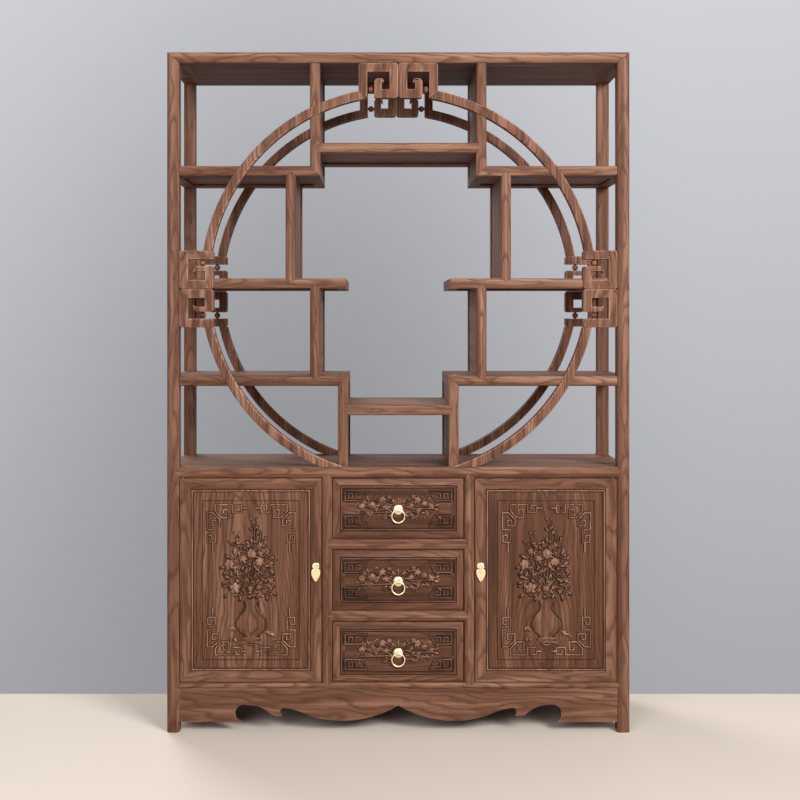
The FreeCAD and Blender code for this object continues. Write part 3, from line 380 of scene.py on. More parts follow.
def cut_out(name, outline, front, back, easing):
    """A piece sawn from a board to an outline of (across, up, corner radius), between two depths, all in
    millimetres, with the edges of its two faces rounded."""
    piece = flat_face(name, [(across, front, up) for across, up, _ in outline])
    for radius in sorted({corner[2] for corner in outline} - {0}):
        spots = {(round(across, 3), round(up, 3)) for across, up, rounding in outline if rounding == radius}
        bpy.ops.mesh.select_all(action="DESELECT")
        bpy.ops.object.mode_set(mode="OBJECT")
        for vertex in piece.data.vertices:
            vertex.select = (round(vertex.co.x / mm, 3), round(vertex.co.z / mm, 3)) in spots
        bpy.ops.object.mode_set(mode="EDIT")
        bpy.ops.mesh.select_mode(type="VERT")
        bpy.ops.mesh.bevel(offset=radius * mm, segments=6, affect="VERTICES", profile=0.5)
    bpy.ops.mesh.select_all(action="SELECT")
    bpy.ops.mesh.extrude_region_move(TRANSFORM_OT_translate={"value": (0, (back - front) * mm, 0)})
    end_editing()
    mesh = piece.data
    mesh.attributes.new("bevel_weight_edge", "FLOAT", "EDGE")
    weights = mesh.attributes["bevel_weight_edge"]
    for edge in mesh.edges:
        ends = [mesh.vertices[index].co.y for index in edge.vertices]
        weights.data[edge.index].value = 1.0 if abs(ends[0] - ends[1]) < 1e-6 else 0.0
    apply_modifier(piece, "BEVEL", width=easing * mm, segments=3, limit_method="WEIGHT",
                   use_clamp_overlap=False)

    def is_rounded(vertex):
        """True in the middle of the rounding, at the front or at the back."""
        depth = min(abs(vertex.co.y / mm - front), abs(vertex.co.y / mm - back))
        return 0.1 * easing < depth < 0.9 * easing

    # Rounded edges are marked for wear and a painted highlight
    mark_edge_wear_and_highlight(piece, is_rounded)
    smooth(piece, 40)
    return piece


def mirrored(piece, name, axis):
    """A copy of a piece, mirrored across the middle of the cabinet."""
    copy = place_object(name, piece.data.copy())
    copy.data.transform(Matrix.Scale(-1, 4, axis))
    copy.data.flip_normals()
    return copy


ACROSS, DEEP, UPWARDS = Vector((1, 0, 0)), Vector((0, 1, 0)), Vector((0, 0, 1))
front_face = -171
apron_end, apron_foot, apron_head, apron_back, curve_reach = 644, 30, 129, -155, 465
apron_shares = ((1.0, 0.0), (1.028, 0.34), (0.95, 0.5), (0.88, 0.45), (0.817, 0.27), (0.78, 0.18),
                (0.735, 0.19), (0.748, 0.3), (0.72, 0.42), (0.66, 0.36), (0.555, 0.17), (0.305, 0.04),
                (0.0, 0.49))
apron_spots = [(share * curve_reach, apron_foot + rise * (apron_head - apron_foot))
               for share, rise in apron_shares]
half_edge = [(apron_end, apron_foot, 0)]
for place in range(0, len(apron_spots) - 2, 2):
    half_edge += curved(*apron_spots[place:place + 3], 10)
whole_edge = half_edge + [(*apron_spots[-1], 0)] + [(-x, z, 0) for x, z, _ in reversed(half_edge)]
apron = cut_out("front_apron_board", [(apron_end, apron_head, 0), *whole_edge, (-apron_end, apron_head, 0)],
                front_face, apron_back, 2)
give_grain(apron)
finish(apron, "carcass", frame_ash, "front_apron")


# Shelves. Each is a frame of ash rails round a thinner board, with the front rail's face bowed. Its
# ends are let into the posts and its rails are half lapped with the ring and the uprights.
for place in ("top", "middle", "lower"):
    for side in ("left", "right"):
        planed(f"{place}_shelf_{side}")
planed("top_centre_shelf")
planed("lower_centre_shelf")


# Uprights. Bowed ash sticks at the front and the rear with a thinner board between them, tenoned
# into the shelves over and under them.
for place in ("top", "second", "third", "fourth"):
    planed(f"{place}_uprights")


# Moon ring. Arcs of ash, sawn to shape, halved together with the shelves and rounded along their
# edges. One ring stands at the front and one at the rear. The arcs meet the side frets at their seats.
ring_level, ring_inner, ring_outer = 1315, 556, 583
ring_front, ring_back = -175, -145
upper_seat, lower_seat, counter_level = 1416.5, 1190.5, 780
fret_mitre = (117, 0, 1886.1), (-22.6, 0, 26.0)


def ring_arc(name, first, last, cuts):
    """Part of the ring from one angle to the other, in degrees above level, cut off square to these
    directions at these points."""
    start = math.radians(first)
    corners = ((ring_inner, ring_front), (ring_outer, ring_front), (ring_outer, ring_back),
               (ring_inner, ring_back))
    piece = flat_face(name, [(radius * math.cos(start), depth, ring_level + radius * math.sin(start))
                             for radius, depth in corners])
    bpy.ops.mesh.bevel(offset=6 * mm, segments=5, affect="VERTICES")
    bpy.ops.mesh.select_all(action="SELECT")
    bpy.ops.mesh.spin(steps=60, angle=math.radians(last - first), center=(0, 0, ring_level * mm),
                      axis=(0, 1, 0))
    for place, way in cuts:
        bpy.ops.mesh.select_all(action="SELECT")
        bpy.ops.mesh.bisect(plane_co=Vector(place) * mm, plane_no=way, use_fill=True, clear_outer=True)
    bpy.ops.mesh.select_all(action="SELECT")
    bpy.ops.mesh.remove_doubles(threshold=0.00001)
    end_editing()

    def is_rounded(vertex):
        """True within 3 mm of an edge of the ring's square section."""
        radius = math.hypot(vertex.co.x, vertex.co.z - ring_level * mm) / mm
        depth = vertex.co.y / mm
        return (min(abs(radius - ring_inner), abs(radius - ring_outer)) < 3
                and min(abs(depth - ring_front), abs(depth - ring_back)) < 3)

    # Rounded edges are marked for wear and a painted highlight
    mark_edge_wear_and_highlight(piece, is_rounded)
    smooth(piece, 40)
    return piece


ring_ash = stained_ash("ash_sawn_walnut_stain_satin", "#c39781", "#a87c66", "#80553f", "#4c2b1d", "#27120a")
upper_arc = ring_arc("upper_arc", 9.0, 82.0, (((0, 0, upper_seat), (0, 0, -1)), fret_mitre))
lower_arc = ring_arc("lower_arc", -11.5, -76.0, (
    ((0, 0, lower_seat), (0, 0, 1)), ((0, 0, counter_level), (0, 0, -1))))
for arc, place in ((upper_arc, "upper"), (lower_arc, "lower")):
    pair = [arc, mirrored(arc, f"{place}_arc_left", ACROSS)]
    rear_pair = [mirrored(piece, f"{piece.name}_rear", DEEP) for piece in pair]
    for facing, arcs in (("front", pair), ("rear", rear_pair)):
        for piece in arcs:
            give_grain(piece, along=2)
        finish(joined(f"{facing}_ring_{place}_arcs", arcs), "carcass", ring_ash, f"{facing}_ring_{place}")


# Frets. Square spirals sawn from ash boards with upright grain, their corners and edges rounded,
# with a turned bead pinned between each hook and its bar.
def turned(name, foot, axis, stations, sides):
    """A turned piece, drawn as rings at (distance along its axis, radius) in millimetres."""
    bpy.ops.mesh.primitive_circle_add(vertices=sides, radius=stations[0][1] * mm, fill_type="NGON")
    piece = bpy.context.object
    piece.name = name
    bpy.ops.object.mode_set(mode="EDIT")
    bpy.ops.mesh.select_all(action="SELECT")
    for (along, radius), (next_along, next_radius) in zip(stations, stations[1:]):
        bpy.ops.mesh.extrude_region_move(TRANSFORM_OT_translate={"value": (0, 0, (next_along - along) * mm)})
        share = next_radius / radius
        bpy.ops.transform.resize(value=(share, share, 1), center_override=(0, 0, 0))
    end_editing()
    turn = axis.to_track_quat("Z", "Y").to_matrix().to_4x4()
    piece.data.transform(Matrix.Translation(Vector(foot) * mm) @ turn)
    smooth(piece, 40)
    return piece


bead_stations = [(0, 3.6), (1.2, 4.4), (2.0, 3.6), (2.6, 4.6), (4.0, 7.2), (6.0, 8.7), (8.0, 9.4),
                 (10.0, 9.5), (12.0, 9.4), (14.0, 8.7), (16.0, 7.2), (17.4, 4.6), (18.0, 3.6), (18.8, 4.4),
                 (20.0, 3.6)]
top_spiral = ((0, 0, 8), (116.6, 0, 8), (116.6, 81.9, 0), (90.6, 104.5, 0), (90.6, 26, 0), (26, 26, 0),
              (26, 77, 0), (48.6, 77, 0), (48.6, 55, 0), (42.6, 61, 0), (42.6, 45, 8), (70.6, 45, 12),
              (70.6, 103, 8), (0, 103, 8))
side_spiral = ((0, 0, 8), (101, 0, 8), (101, 112.6, 8), (0, 112.6, 8), (0, 46, 8), (60, 46, 12), (60, 67, 0),
               (54, 61, 0), (26, 61, 0), (26, 86.6, 0), (75, 86.6, 0), (75, 26, 0), (0, 26, 0))
fret_rounding = 3.2
ring_middle = (ring_front + ring_back) / 2
top_rail_foot, side_fret_edge, side_bead = 1968, 543, 576
top_frets = [
    cut_out("top_fret", [(0.4 + across, top_rail_foot - down, radius) for across, down, radius in top_spiral],
            ring_front, ring_back, fret_rounding),
    turned("top_bead", (71, ring_middle, 1891.1), ACROSS, bead_stations, 20)]
side_frets = []
for place, seat, way, foot in (
        ("upper", upper_seat, -1, upper_seat - 46), ("lower", lower_seat, 1, lower_seat + 26)):
    spiral = [(side_fret_edge + across, seat + way * down, radius) for across, down, radius in side_spiral]
    side_frets += [
        cut_out(f"{place}_fret", spiral, ring_front, ring_back, fret_rounding),
        turned(f"{place}_bead", (side_bead, ring_middle, foot), UPWARDS, bead_stations, 20)]
for place, pieces in (("top_frets", top_frets), ("side_frets", side_frets)):
    pieces += [mirrored(piece, f"{piece.name}_left", ACROSS) for piece in pieces]
    rear_pieces = [mirrored(piece, f"{piece.name}_rear", DEEP) for piece in pieces]
    for facing, made in (("front", pieces), ("rear", rear_pieces)):
        for piece in made:
            give_grain(piece, along=2)
        finish(joined(f"{facing}_{place}_cut", made), "carcass", ring_ash, f"{facing}_{place}")


# Lower cabinet. Stiles and drawer rails at the front, thin ash boards at the sides and the rear, and
# behind them plain partitions, drawer runners and small stops for the doors.
planed("centre_stiles")
planed("drawer_rails")
for node in ("side_panels", "back_panel", "partitions", "drawer_runners", "door_stops"):
    planed(node, easing=board_easing)


# Doors. Each is a mitred ash frame round a panel with a bead, a rising band and a raised field. The
# field is carved in low relief from the same board: fret corners and a vase of flowers.
panel_ash = stained_ash(
    "ash_carved_walnut_stain_satin", "#b48d76", "#956b54", "#714934", "#4c2d1d", "#221009")
frame_profile = [(0, 24), (0, 2.2), (0.7, 0.8), (2.2, 0), (14, 0), (17, 0.3), (29, 2.6), (32, 3.4),
                 (33.4, 4.2), (34, 5.4), (34, 24)]
doors = (("left_door", -434), ("right_door", 434))
door_width, door_height, door_level = 417, 599, 447
field_ground, bead_ground, line_ground = -169, -167.6, -166.3


def mitred_rail(name, profile, length, turn, place):
    """A length of moulding, cut at 45 degrees at both ends and turned in quarters. Its profile is given
    as (distance from the outer edge, depth) in millimetres."""
    half = length / 2 * mm
    piece = flat_face(name, [(-length / 2, depth, -inset) for inset, depth in profile])
    bpy.ops.mesh.extrude_region_move(TRANSFORM_OT_translate={"value": (2 * half, 0, 0)})
    for end in (-1, 1):
        bpy.ops.mesh.select_all(action="SELECT")
        bpy.ops.mesh.bisect(plane_co=(end * (half - 0.0002), 0, 0), plane_no=(end, 0, -1), use_fill=True,
                            clear_outer=True)
    end_editing()
    piece.data.transform(Matrix.Translation(Vector(place) * mm)
                         @ Matrix.Rotation(math.radians(90 * turn), 4, "Y"))
    smooth(piece, 30)
    return piece


def mitred_frame(profile, width, height, across, up):
    """The four rails of a frame round a middle, each with its own grain."""
    rails = [mitred_rail(f"{place}_rail", profile, length, turn, (across + aside, front_face, up + above))
             for turn, (place, length, aside, above) in enumerate((
                 ("top", width, 0, height / 2), ("right", height, width / 2, 0),
                 ("bottom", width, 0, -height / 2), ("left", height, -width / 2, 0)))]
    for rail in rails:
        give_grain(rail)
    return rails


def loop(half_width, half_height):
    """A closed rectangle round the middle, as a line."""
    corners = [(-1, -1), (1, -1), (1, 1), (-1, 1), (-1, -1), (0, -1)]
    return [(x * half_width, z * half_height) for x, z in corners]


for door, middle in doors:
    rails = mitred_frame(frame_profile, door_width, door_height, middle, door_level)
    finish(joined(f"{door}_frame_mitred", rails), door, frame_ash, f"{door}_frame")
    planed(f"{door}_panel", door, panel_ash, easing=0.0012, along=2)


def carved_lines(name, lines, width, rise, is_free=False):
    """Raised fillets with a rounded back, along lines of (across, up) in millimetres, on the ground at
    depth 0. Free ones, such as stems, bend smoothly between their points."""
    curve = bpy.data.curves.new(name, "CURVE")
    curve.dimensions = "3D"
    curve.bevel_depth = width / 2 * mm
    curve.bevel_resolution = 2
    curve.resolution_u = 3
    curve.use_fill_caps = True
    curve.twist_mode = "Z_UP"
    for line in lines:
        spline = curve.splines.new("NURBS" if is_free else "POLY")
        spline.points.add(len(line) - 1)
        for point, (across, up) in zip(spline.points, line):
            point.co = (across * mm, up * mm, 0, 1)
        if is_free:
            spline.order_u = 3
            spline.use_endpoint_u = True
    piece = place_object(name, curve)
    make_active(piece)
    bpy.ops.object.convert(target="MESH")
    piece = bpy.context.object
    share = rise / (width / 2)
    piece.data.transform(Matrix(((1, 0, 0, 0), (0, 0, -share, 0), (0, 1, 0, 0), (0, 0, 0, 1))))
    return piece


# The carver's petal: blunt at its outer end, narrow at its foot, one unit long
bpy.ops.mesh.primitive_uv_sphere_add(segments=10, ring_count=6, radius=0.5, rotation=(0, math.pi / 2, 0))
petal = bpy.context.object
petal.name = "petal"
bpy.ops.object.transform_apply(location=False, rotation=True, scale=False)
for vertex in petal.data.vertices:
    share = vertex.co.x + 0.5
    vertex.co.z *= 0.35 + 0.5 * share
    vertex.co.y *= 0.62
bpy.ops.object.shade_smooth()


def set_petal(across, up, length, angle, width=1.0, lift=0.0, tilt=0.0, thick=1.0):
    """A copy of the petal from a point outwards at an angle, in millimetres and degrees."""
    turn = math.radians(angle)
    place = (Matrix.Translation(Vector((across, -lift, up)) * mm) @ Matrix.Rotation(-turn, 4, "Y")
             @ Matrix.Rotation(math.radians(tilt), 4, "Z") @ Matrix.Translation((length / 2 * mm, 0, 0))
             @ Matrix.Diagonal((length * mm, length * thick * mm, length * width * mm, 1)))
    copy = place_object("petal_copy", petal.data.copy())
    copy.data.transform(place)
    return copy


def paint_foot_shade_top_highlight(piece, ground, low_tone, high_tone, rise):
    """Paints shade on the low foot of a carving and a painted highlight on its raised back: the lower a point
    lies, the darker it is painted.
    """
    tone = piece.data.attributes["tone"]
    for vertex in piece.data.vertices:
        share = min(max((ground * mm - vertex.co.y) / (rise * mm), 0), 1) ** 1.4
        tone.data[vertex.index].value += low_tone + (high_tone - low_tone) * share


def bloom(across, up, radius, turn, petals=5):
    """A flower: a low flat bed, painted dark as shade on the ground round it, a whorl of petals, a second one
    if it is large, and a round heart.
    """
    made = [set_petal(across - radius * 1.05, up, radius * 2.1, 0, 1.2, 0, 0, 0.04)]
    made += [set_petal(across, up, radius, turn + 360 / petals * number, 1.25, radius * 0.22, 14)
            for number in range(petals)]
    inner = petals - 1
    if radius > 9:
        made += [set_petal(across, up, radius * 0.62, turn + 25 + 360 / inner * number, 1.3, radius * 0.32, 8)
                 for number in range(inner)]
    made.append(set_petal(across - radius * 0.16, up, radius * 0.34, 0, 1.6, radius * 0.4))
    return made


def four_ways(lines):
    """Lines drawn in the upper right quarter of a panel, and their mirror images in the other three."""
    return [[(x * across, z * up) for x, z in line] for across in (1, -1) for up in (1, -1) for line in lines]


corner_fret = [
    [(-82.1, 195.6), (-82.1, 205.9), (-66.8, 205.9), (-66.8, 182.4), (-87.9, 182.4), (-105.6, 201.5),
     (-105.6, 220.6), (-55.6, 220.6), (-55.6, 198.5), (-29.1, 198.5), (-29.1, 219.1), (-45.3, 219.1),
     (-45.3, 207.4)],
    [(-29.1, 210.3), (-14.0, 210.3)],
    [(-104.1, 166.2), (-104.1, 175.0), (-114.4, 175.0), (-114.4, 158.8), (-92.4, 158.8), (-92.4, 177.9),
     (-112.9, 197.1), (-129.1, 197.1), (-129.1, 147.1), (-105.6, 147.1), (-105.6, 110.3), (-127.6, 110.3),
     (-127.6, 130.9), (-115.9, 130.9), (-115.9, 123.5)],
    [(-112.9, 110.3), (-112.9, 80.9)],
]
# Wide, very low strips under the frets are painted dark, as their shade on the ground
frets = joined("frets", [carved_lines("corner_frets", four_ways(corner_fret), 5.2, 4.8),
                         carved_lines("fret_painted_shade", four_ways(corner_fret), 9.6, 0.5)])
vase = turned("vase", (0, 0, -180), UPWARDS, [
    (0, 24), (3, 26), (6, 25.5), (8, 21), (13, 18), (17, 20), (22, 27), (30, 37), (40, 43), (48, 44),
    (58, 42.5), (66, 38), (74, 32), (82, 25), (90, 19.5), (98, 17), (106, 16.5), (112, 18), (117, 20.5),
    (120, 21), (122, 19)], 32)
vase.data.transform(Matrix.Translation((0, -0.0008, 0)) @ Matrix.Diagonal((1, 0.11, 1, 1)))
left_side = [(-26, -179), (-19, -166), (-28, -156), (-42, -142), (-45, -130), (-38, -112), (-20, -91),
             (-18, -76), (-22, -62)]
# A low wide strip round the vase's outline is painted dark as shade, and a raised line on its right shoulder
# is painted light as a highlight
relief = [
    carved_lines("vase_painted_outline_shade", [left_side, [(-x, z) for x, z in left_side]], 8, 0.7, True),
    carved_lines("vase_stand", [
        [(-28, -183), (28, -183)], [(-26, -172), (26, -172)],
        [(-24, -184), (-33, -190), (-31, -199), (-24, -196)],
        [(24, -184), (33, -190), (31, -199), (24, -196)], [(-12, -188), (0, -192), (12, -188)]], 5, 6),
    carved_lines("shoulder_painted_highlight", [[(14, -74), (19, -88), (30, -101), (40, -112)]], 3.4, 7, True)]
stems = [
    [(7.6, 162), (9, 148), (10.6, 130), (11, 100), (8, 60), (2, 20), (0, -30)],
    [(-42, 122), (-40, 100), (-38, 80), (-30, 50), (-16, 20), (-3, -20)],
    [(26, 108), (22, 90), (20, 60), (12, 20), (4, -20)], [(34, 118), (30, 100), (24, 84)],
    [(56, 46), (44, 26), (30, 10), (14, -6), (4, -30)], [(62, -20), (46, -12), (26, -16), (8, -34)],
    [(-64, 42), (-44, 26), (-26, 6), (-12, -12), (-2, -34)], [(-42, 14), (-24, -2), (-8, -22)],
    [(-34, 24), (-20, 12), (-12, -4)], [(14, 22), (24, 10), (38, 2)], [(-18, 30), (-6, 12), (4, 2)],
    [(-4, 34), (-10, 14), (-8, -10)], [(24, 146), (29, 132), (25, 112), (18, 98)],
    [(-27, 106), (-33, 92), (-34, 76)], [(-78, 6), (-62, 12), (-48, 14)],
]
# Wide, very low strips under the stems are painted dark, as their shade on the ground
relief += [carved_lines("stems", stems, 3.4, 5.4, True), carved_lines("stem_painted_shade", stems, 9, 0.5, True)]
blooms = [
    (1.8, 77, 17, 10, 7), (26, 53, 16, 40, 6), (-64, 46, 17, 0, 6), (-46, 84, 12, 20), (-22, 62, 13, 60),
    (26, 103, 10, 15), (37, 99, 9, 50), (7.6, 168, 9, 90), (-42, 124, 8, 30), (-54, 103, 8, 10),
    (58, 48, 10, 70), (-48, -24, 19, 18), (24, -22, 11, 0), (40, -34, 11, 30), (52, -16, 10, 55),
    (64, -21, 7, 20), (-2, -26, 12, 10, 6), (-22, -30, 10, 40), (14, -8, 9, 5), (-14, 4, 8, 0),
    (31, 20, 9, 33), (-36, 8, 8, 12), (46, 4, 8, 0), (-6, 46, 9, 45), (44, 66, 8, 25),
]
for flower in blooms:
    relief += bloom(*flower)
leaves = [
    (-30, 105, 16, 160), (-44, 112, 12, 60), (-27, 106, 13, 20), (14, 130, 16, 60), (24, 132, 15, 110),
    (18, 108, 15, 150), (-6, 100, 15, 110), (-2, 112, 13, 70), (40, 114, 13, 75), (-60, 64, 17, 150),
    (-76, 40, 14, 200), (-70, 28, 16, 230), (-56, 26, 18, 250), (-40, 40, 18, 200), (-20, 42, 16, 240),
    (8, 50, 17, 280), (12, 34, 16, 330), (38, 40, 17, 10), (54, 30, 17, 320), (60, 60, 13, 60),
    (42, 78, 14, 30), (-4, 28, 15, 200), (-28, 18, 16, 190), (-56, 4, 17, 170), (-70, -4, 15, 210),
    (28, 4, 17, 340), (50, -4, 16, 15), (62, -34, 15, 320), (44, -46, 14, 290), (22, -40, 15, 250),
    (6, -44, 14, 200), (-12, -46, 14, 330), (-30, -46, 15, 260), (-66, -40, 15, 220), (-70, -20, 13, 170),
    (-34, -8, 15, 140), (6, 8, 14, 40), (20, 66, 14, 160), (-32, 72, 14, 120), (6, 92, 12, 60),
    (-12, 90, 13, 150), (10, 150, 13, 40), (6, 144, 12, 140), (-46, 134, 9, 120), (-38, 134, 9, 60),
    (2, 176, 9, 120), (13, 176, 9, 60), (-60, 110, 9, 150), (66, 56, 9, 30),
]
# Rows of small leaves fill the ground between the stems
carver = random.Random(5)
for height in range(-44, 110, 5):
    reach = 68 - 0.0045 * (height - 12) ** 2
    for share in (-0.95, -0.6, -0.25, 0.25, 0.6, 0.95):
        leaves.append((share * reach + carver.uniform(-8, 8), height + carver.uniform(-4, 4),
                       carver.uniform(7, 12), carver.uniform(0, 360)))
relief += [set_petal(*leaf, 0.55, 4.2, 10) for leaf in leaves]
# Low flat beds under the leaves, painted dark as their shade on the ground
relief += [set_petal(across - length * 0.1, up - 1.5, length * 1.3, angle, 1.0, 0, 0, 0.08)
           for across, up, length, angle in leaves]
fruits = [
    (-62, -150, 14, 80), (-54, -148, 14, 95), (-47, -152, 13, 100), (-58, -168, 13, 270),
    (-50, -170, 13, 300), (42, -152, 17, 350), (56, -156, 16, 335), (48, -160, 14, 10), (66, -163, 10, 330),
]
relief += [set_petal(*fruit, 1.1, 3, 4) for fruit in fruits]
carving = joined("door_carving", relief)
make_active(carving)
bpy.ops.object.shade_smooth_by_angle(angle=math.radians(60))
# The bead gets a painted highlight on its back. Low strips beside it and round the field are painted dark, as
# shade in the corners and the groove
bead = carved_lines("panel_bead", [loop(172, 263)], 5.6, 3.2)
lines = joined("panel_painted_shade_lines", [carved_lines("bead_painted_shade", [loop(175.9, 266.9)], 3.4, 2.0),
                               carved_lines("bead_painted_shade", [loop(168.4, 259.4)], 4.4, 1.4),
                               carved_lines("field_painted_shade_line", [loop(142.6, 233.6)], 3.6, 3.2)])


def set_carving(name, template, place, carving_shading, body, along=None):
    """A copy of a carving, set on the ground of its panel in millimetres, with its grain, painted shade at
    its foot and a painted highlight on its top.
    """
    copy = place_object(name, template.data.copy())
    copy.data.transform(Matrix.Translation(Vector(place) * mm))
    give_grain(copy, along)
    paint_foot_shade_top_highlight(copy, place[1], *carving_shading)
    finish(copy, body, panel_ash)


for door, middle in doors:
    # Each part's three numbers are the painted shade at its ground, the painted highlight at its top, and the
    # height in millimetres between them; the lines are painted shade only
    for part, shape, shift, depth, carving_shading in (
            ("carving", carving, 1.5, field_ground, (-0.42, 0.4, 5.5)),
            ("frets", frets, 1.5, field_ground, (-0.42, 0.36, 2.6)),
            ("vase", vase, 1.5, field_ground, (-0.3, 0.04, 2.4)),
            ("bead", bead, 0, bead_ground, (-0.3, 0.4, 3)),
            ("lines", lines, 0, line_ground, (-0.5, -0.5, 5))):
        set_carving(f"{door}_{part}", shape, (middle + shift, depth, door_level + shift), carving_shading, door, 2)
for template in (bead, lines, carving, frets, vase):
    bpy.data.objects.remove(template)


# Drawers. Each front is ash: a mitred border that slopes down to a bead, a groove and a second bead
# round a sunk field. The field is carved with corner brackets and blossom. The boxes are plain ash.
drawers = (("top_drawer", 658), ("middle_drawer", 447), ("bottom_drawer", 236))
drawer_width, drawer_height, field_face = 385, 177, -167
bracket = [
    [(-156.3, 22.7), (-156.3, 52), (-92, 52), (-108, 22.7), (-156.3, 22.7)],
    [(-146, 31), (-146, 43.5), (-134, 43.5), (-134, 33)], [(-124, 31), (-124, 43.5), (-112, 43.5)],
]
branches = [
    [(-16, -12), (-38, -12), (-60, -12.5), (-92, -13), (-112, -14)],
    [(-16, 0), (-38, 9), (-58, 3), (-80, 0), (-102, 12)], [(-16, 14), (-36, 28), (-48, 26), (-66, 20)],
    [(18, 6), (42, -3), (66, -1), (95, 0), (118, -3)], [(18, 14), (38, 32), (58, 24), (90, 9)],
    [(40, -8), (66, -14), (95, -14.5)], [(-14, -18), (-40, -28)], [(14, -18), (42, -26), (60, -20)],
    [(-60, 3), (-70, 14), (-76, 22)], [(66, -1), (74, 12), (82, 18)],
]
tendrils = [
    [(-112, -2), (-114, 10), (-104, 17), (-96, 10), (-88, 6), (-78, 10)],
    [(-70, 4), (-58, 14), (-50, 8), (-44, 12)],
    [(-90, 26), (-80, 30), (-70, 24), (-62, 28)], [(-34, 14), (-30, 2), (-24, -8), (-18, -20)],
    [(-98, -10), (-86, -6), (-76, -10)], [(44, 38), (48, 28), (56, 20), (60, 12)],
    [(70, 12), (80, 10), (88, 2), (98, 4), (108, 12)], [(46, -8), (56, -16), (68, -18), (80, -12), (92, -16)],
    [(112, 4), (118, 8), (122, 0), (116, -6)], [(26, -26), (32, -18), (40, -16), (50, -24), (56, -34)],
]
# Wide, very low strips under the brackets and branches are painted dark, as their shade on the ground
drawer_frets = joined("drawer_frets", [
    carved_lines("brackets", four_ways(bracket), 3.6, 4.4),
    carved_lines("bracket_painted_shade", four_ways(bracket), 12, 0.5),
    carved_lines("branches", branches, 3.4, 3.8, True),
    carved_lines("branch_painted_shade", branches, 11, 0.5, True),
    carved_lines("tendrils", tendrils, 3.0, 5.2, True)])
drawer_blooms = [
    (-106, 7, 12, 15), (-99, 20, 9, 40), (-76, 12, 11, 0), (-46, 25, 12, 20), (-64, -3, 9, 50),
    (-26, 33, 9, 10), (-36, 4, 10, 30), (57, 25, 12, 0), (45, 36, 9, 25), (78, 15, 11, 45), (98, 7, 11, 10),
    (115, -3, 8, 0), (39, 9, 10, 20), (60, -5, 9, 60), (-88, -14, 8, 0), (86, -15, 8, 35), (-40, -27, 8, 0),
    (44, -26, 8, 15), (-68, 32, 7, 0), (70, 34, 7, 20),
]
drawer_leaves = [
    (-14, -14, 22, 215), (16, -14, 22, 325), (-10, 16, 20, 130), (12, 16, 20, 50), (0, 20, 18, 90),
    (-20, 4, 20, 175), (20, 4, 20, 5), (108, 8, 18, 20), (104, 0, 18, 340), (-116, -4, 14, 200),
    (-86, 22, 13, 120), (-58, 34, 13, 150), (-30, -16, 15, 200), (34, -16, 15, 340), (70, -10, 14, 330),
    (-74, -8, 14, 220), (-52, 12, 13, 100), (50, 12, 13, 80), (88, 24, 13, 60), (-92, 28, 11, 80),
]
drawer_relief = []
for flower in drawer_blooms:
    drawer_relief += bloom(*flower)
for place in range(60):
    across = -120 + 4.1 * place
    if abs(across) > 14:
        drawer_leaves.append((across, carver.uniform(-26, 32 - abs(across) * 0.12), carver.uniform(8, 13),
                              carver.uniform(0, 360)))
drawer_relief += [set_petal(across, up, length * 0.8, angle, 0.6, 3.4, 8)
                  for across, up, length, angle in drawer_leaves]
drawer_carving = joined("drawer_carving", drawer_relief)
make_active(drawer_carving)
bpy.ops.object.shade_smooth_by_angle(angle=math.radians(60))
drawer_profile = [(0, 20), (0, 7.4), (0.5, 6.2), (1.6, 5.4), (17.6, 0.8), (19.2, 0.2), (20.4, 0.6),
                  (20.8, 3.2), (24.0, 3.2), (24.4, 0.9), (25.5, 0.3), (26.8, 0.8), (27.6, 2.2), (27.9, 20)]
# Strips in the groove and round the foot of the field are painted dark, as shade in the groove and the corner
drawer_painted_shade_lines = joined("drawer_painted_shade_lines", [carved_lines("groove_painted_shade", [loop(170.1, 66.1)], 3.6, 2.0),
                                       carved_lines("field_painted_shade", [loop(163.4, 59.2)], 5.0, 0.9)])


def block(name, left, right, foot, head, front, back, easing):
    """A small square block, with the edges of its front and its back rounded."""
    outline = [(left, foot, 0), (right, foot, 0), (right, head, 0), (left, head, 0)]
    return cut_out(name, outline, front, back, easing)


for drawer, middle in drawers:
    rails = mitred_frame(drawer_profile, drawer_width, drawer_height, 0, middle)
    finish(joined(f"{drawer}_frame", rails), drawer, frame_ash)
    field = [block("field", -165, 165, middle - 61, middle + 61, field_face, -151, 0.5)]
    for way in (-1, 1):
        inner, outer = sorted((way * 157, way * 165.5))
        field.append(block("step", inner, outer, middle - 19, middle + 19, -168.6, -160, 0.8))
    # The sunk field and its steps are painted darker, as painted shade in the recess
    for piece in field:
        give_grain(piece, along=0, lighter=-0.12)
    finish(joined(f"{drawer}_field", field), drawer, panel_ash, f"{drawer}_front")
    planed(f"{drawer}_box", drawer, panel_ash, board_easing)
    # Each part's three numbers are the painted shade at its ground, the painted highlight at its top, and the
    # height in millimetres between them
    for part, shape, carving_shading in (
            ("carving", drawer_carving, (-0.42, 0.4, 4.6)), ("frets", drawer_frets, (-0.5, 0.2, 3.2)),
            ("lines", drawer_painted_shade_lines, (-0.55, -0.55, 5))):
        set_carving(f"{drawer}_{part}", shape, (0, field_face, middle), carving_shading, drawer)
for template in (drawer_painted_shade_lines, drawer_carving, drawer_frets, petal):
    bpy.data.objects.remove(template)


# Door pulls. A small round brass plate with two ears and a pin, on which a cast leaf hangs. The brass
# is polished and lacquered, with a soft unevenness left by the casting.
brass, tree, shader = new_material("polished_lacquered_brass")
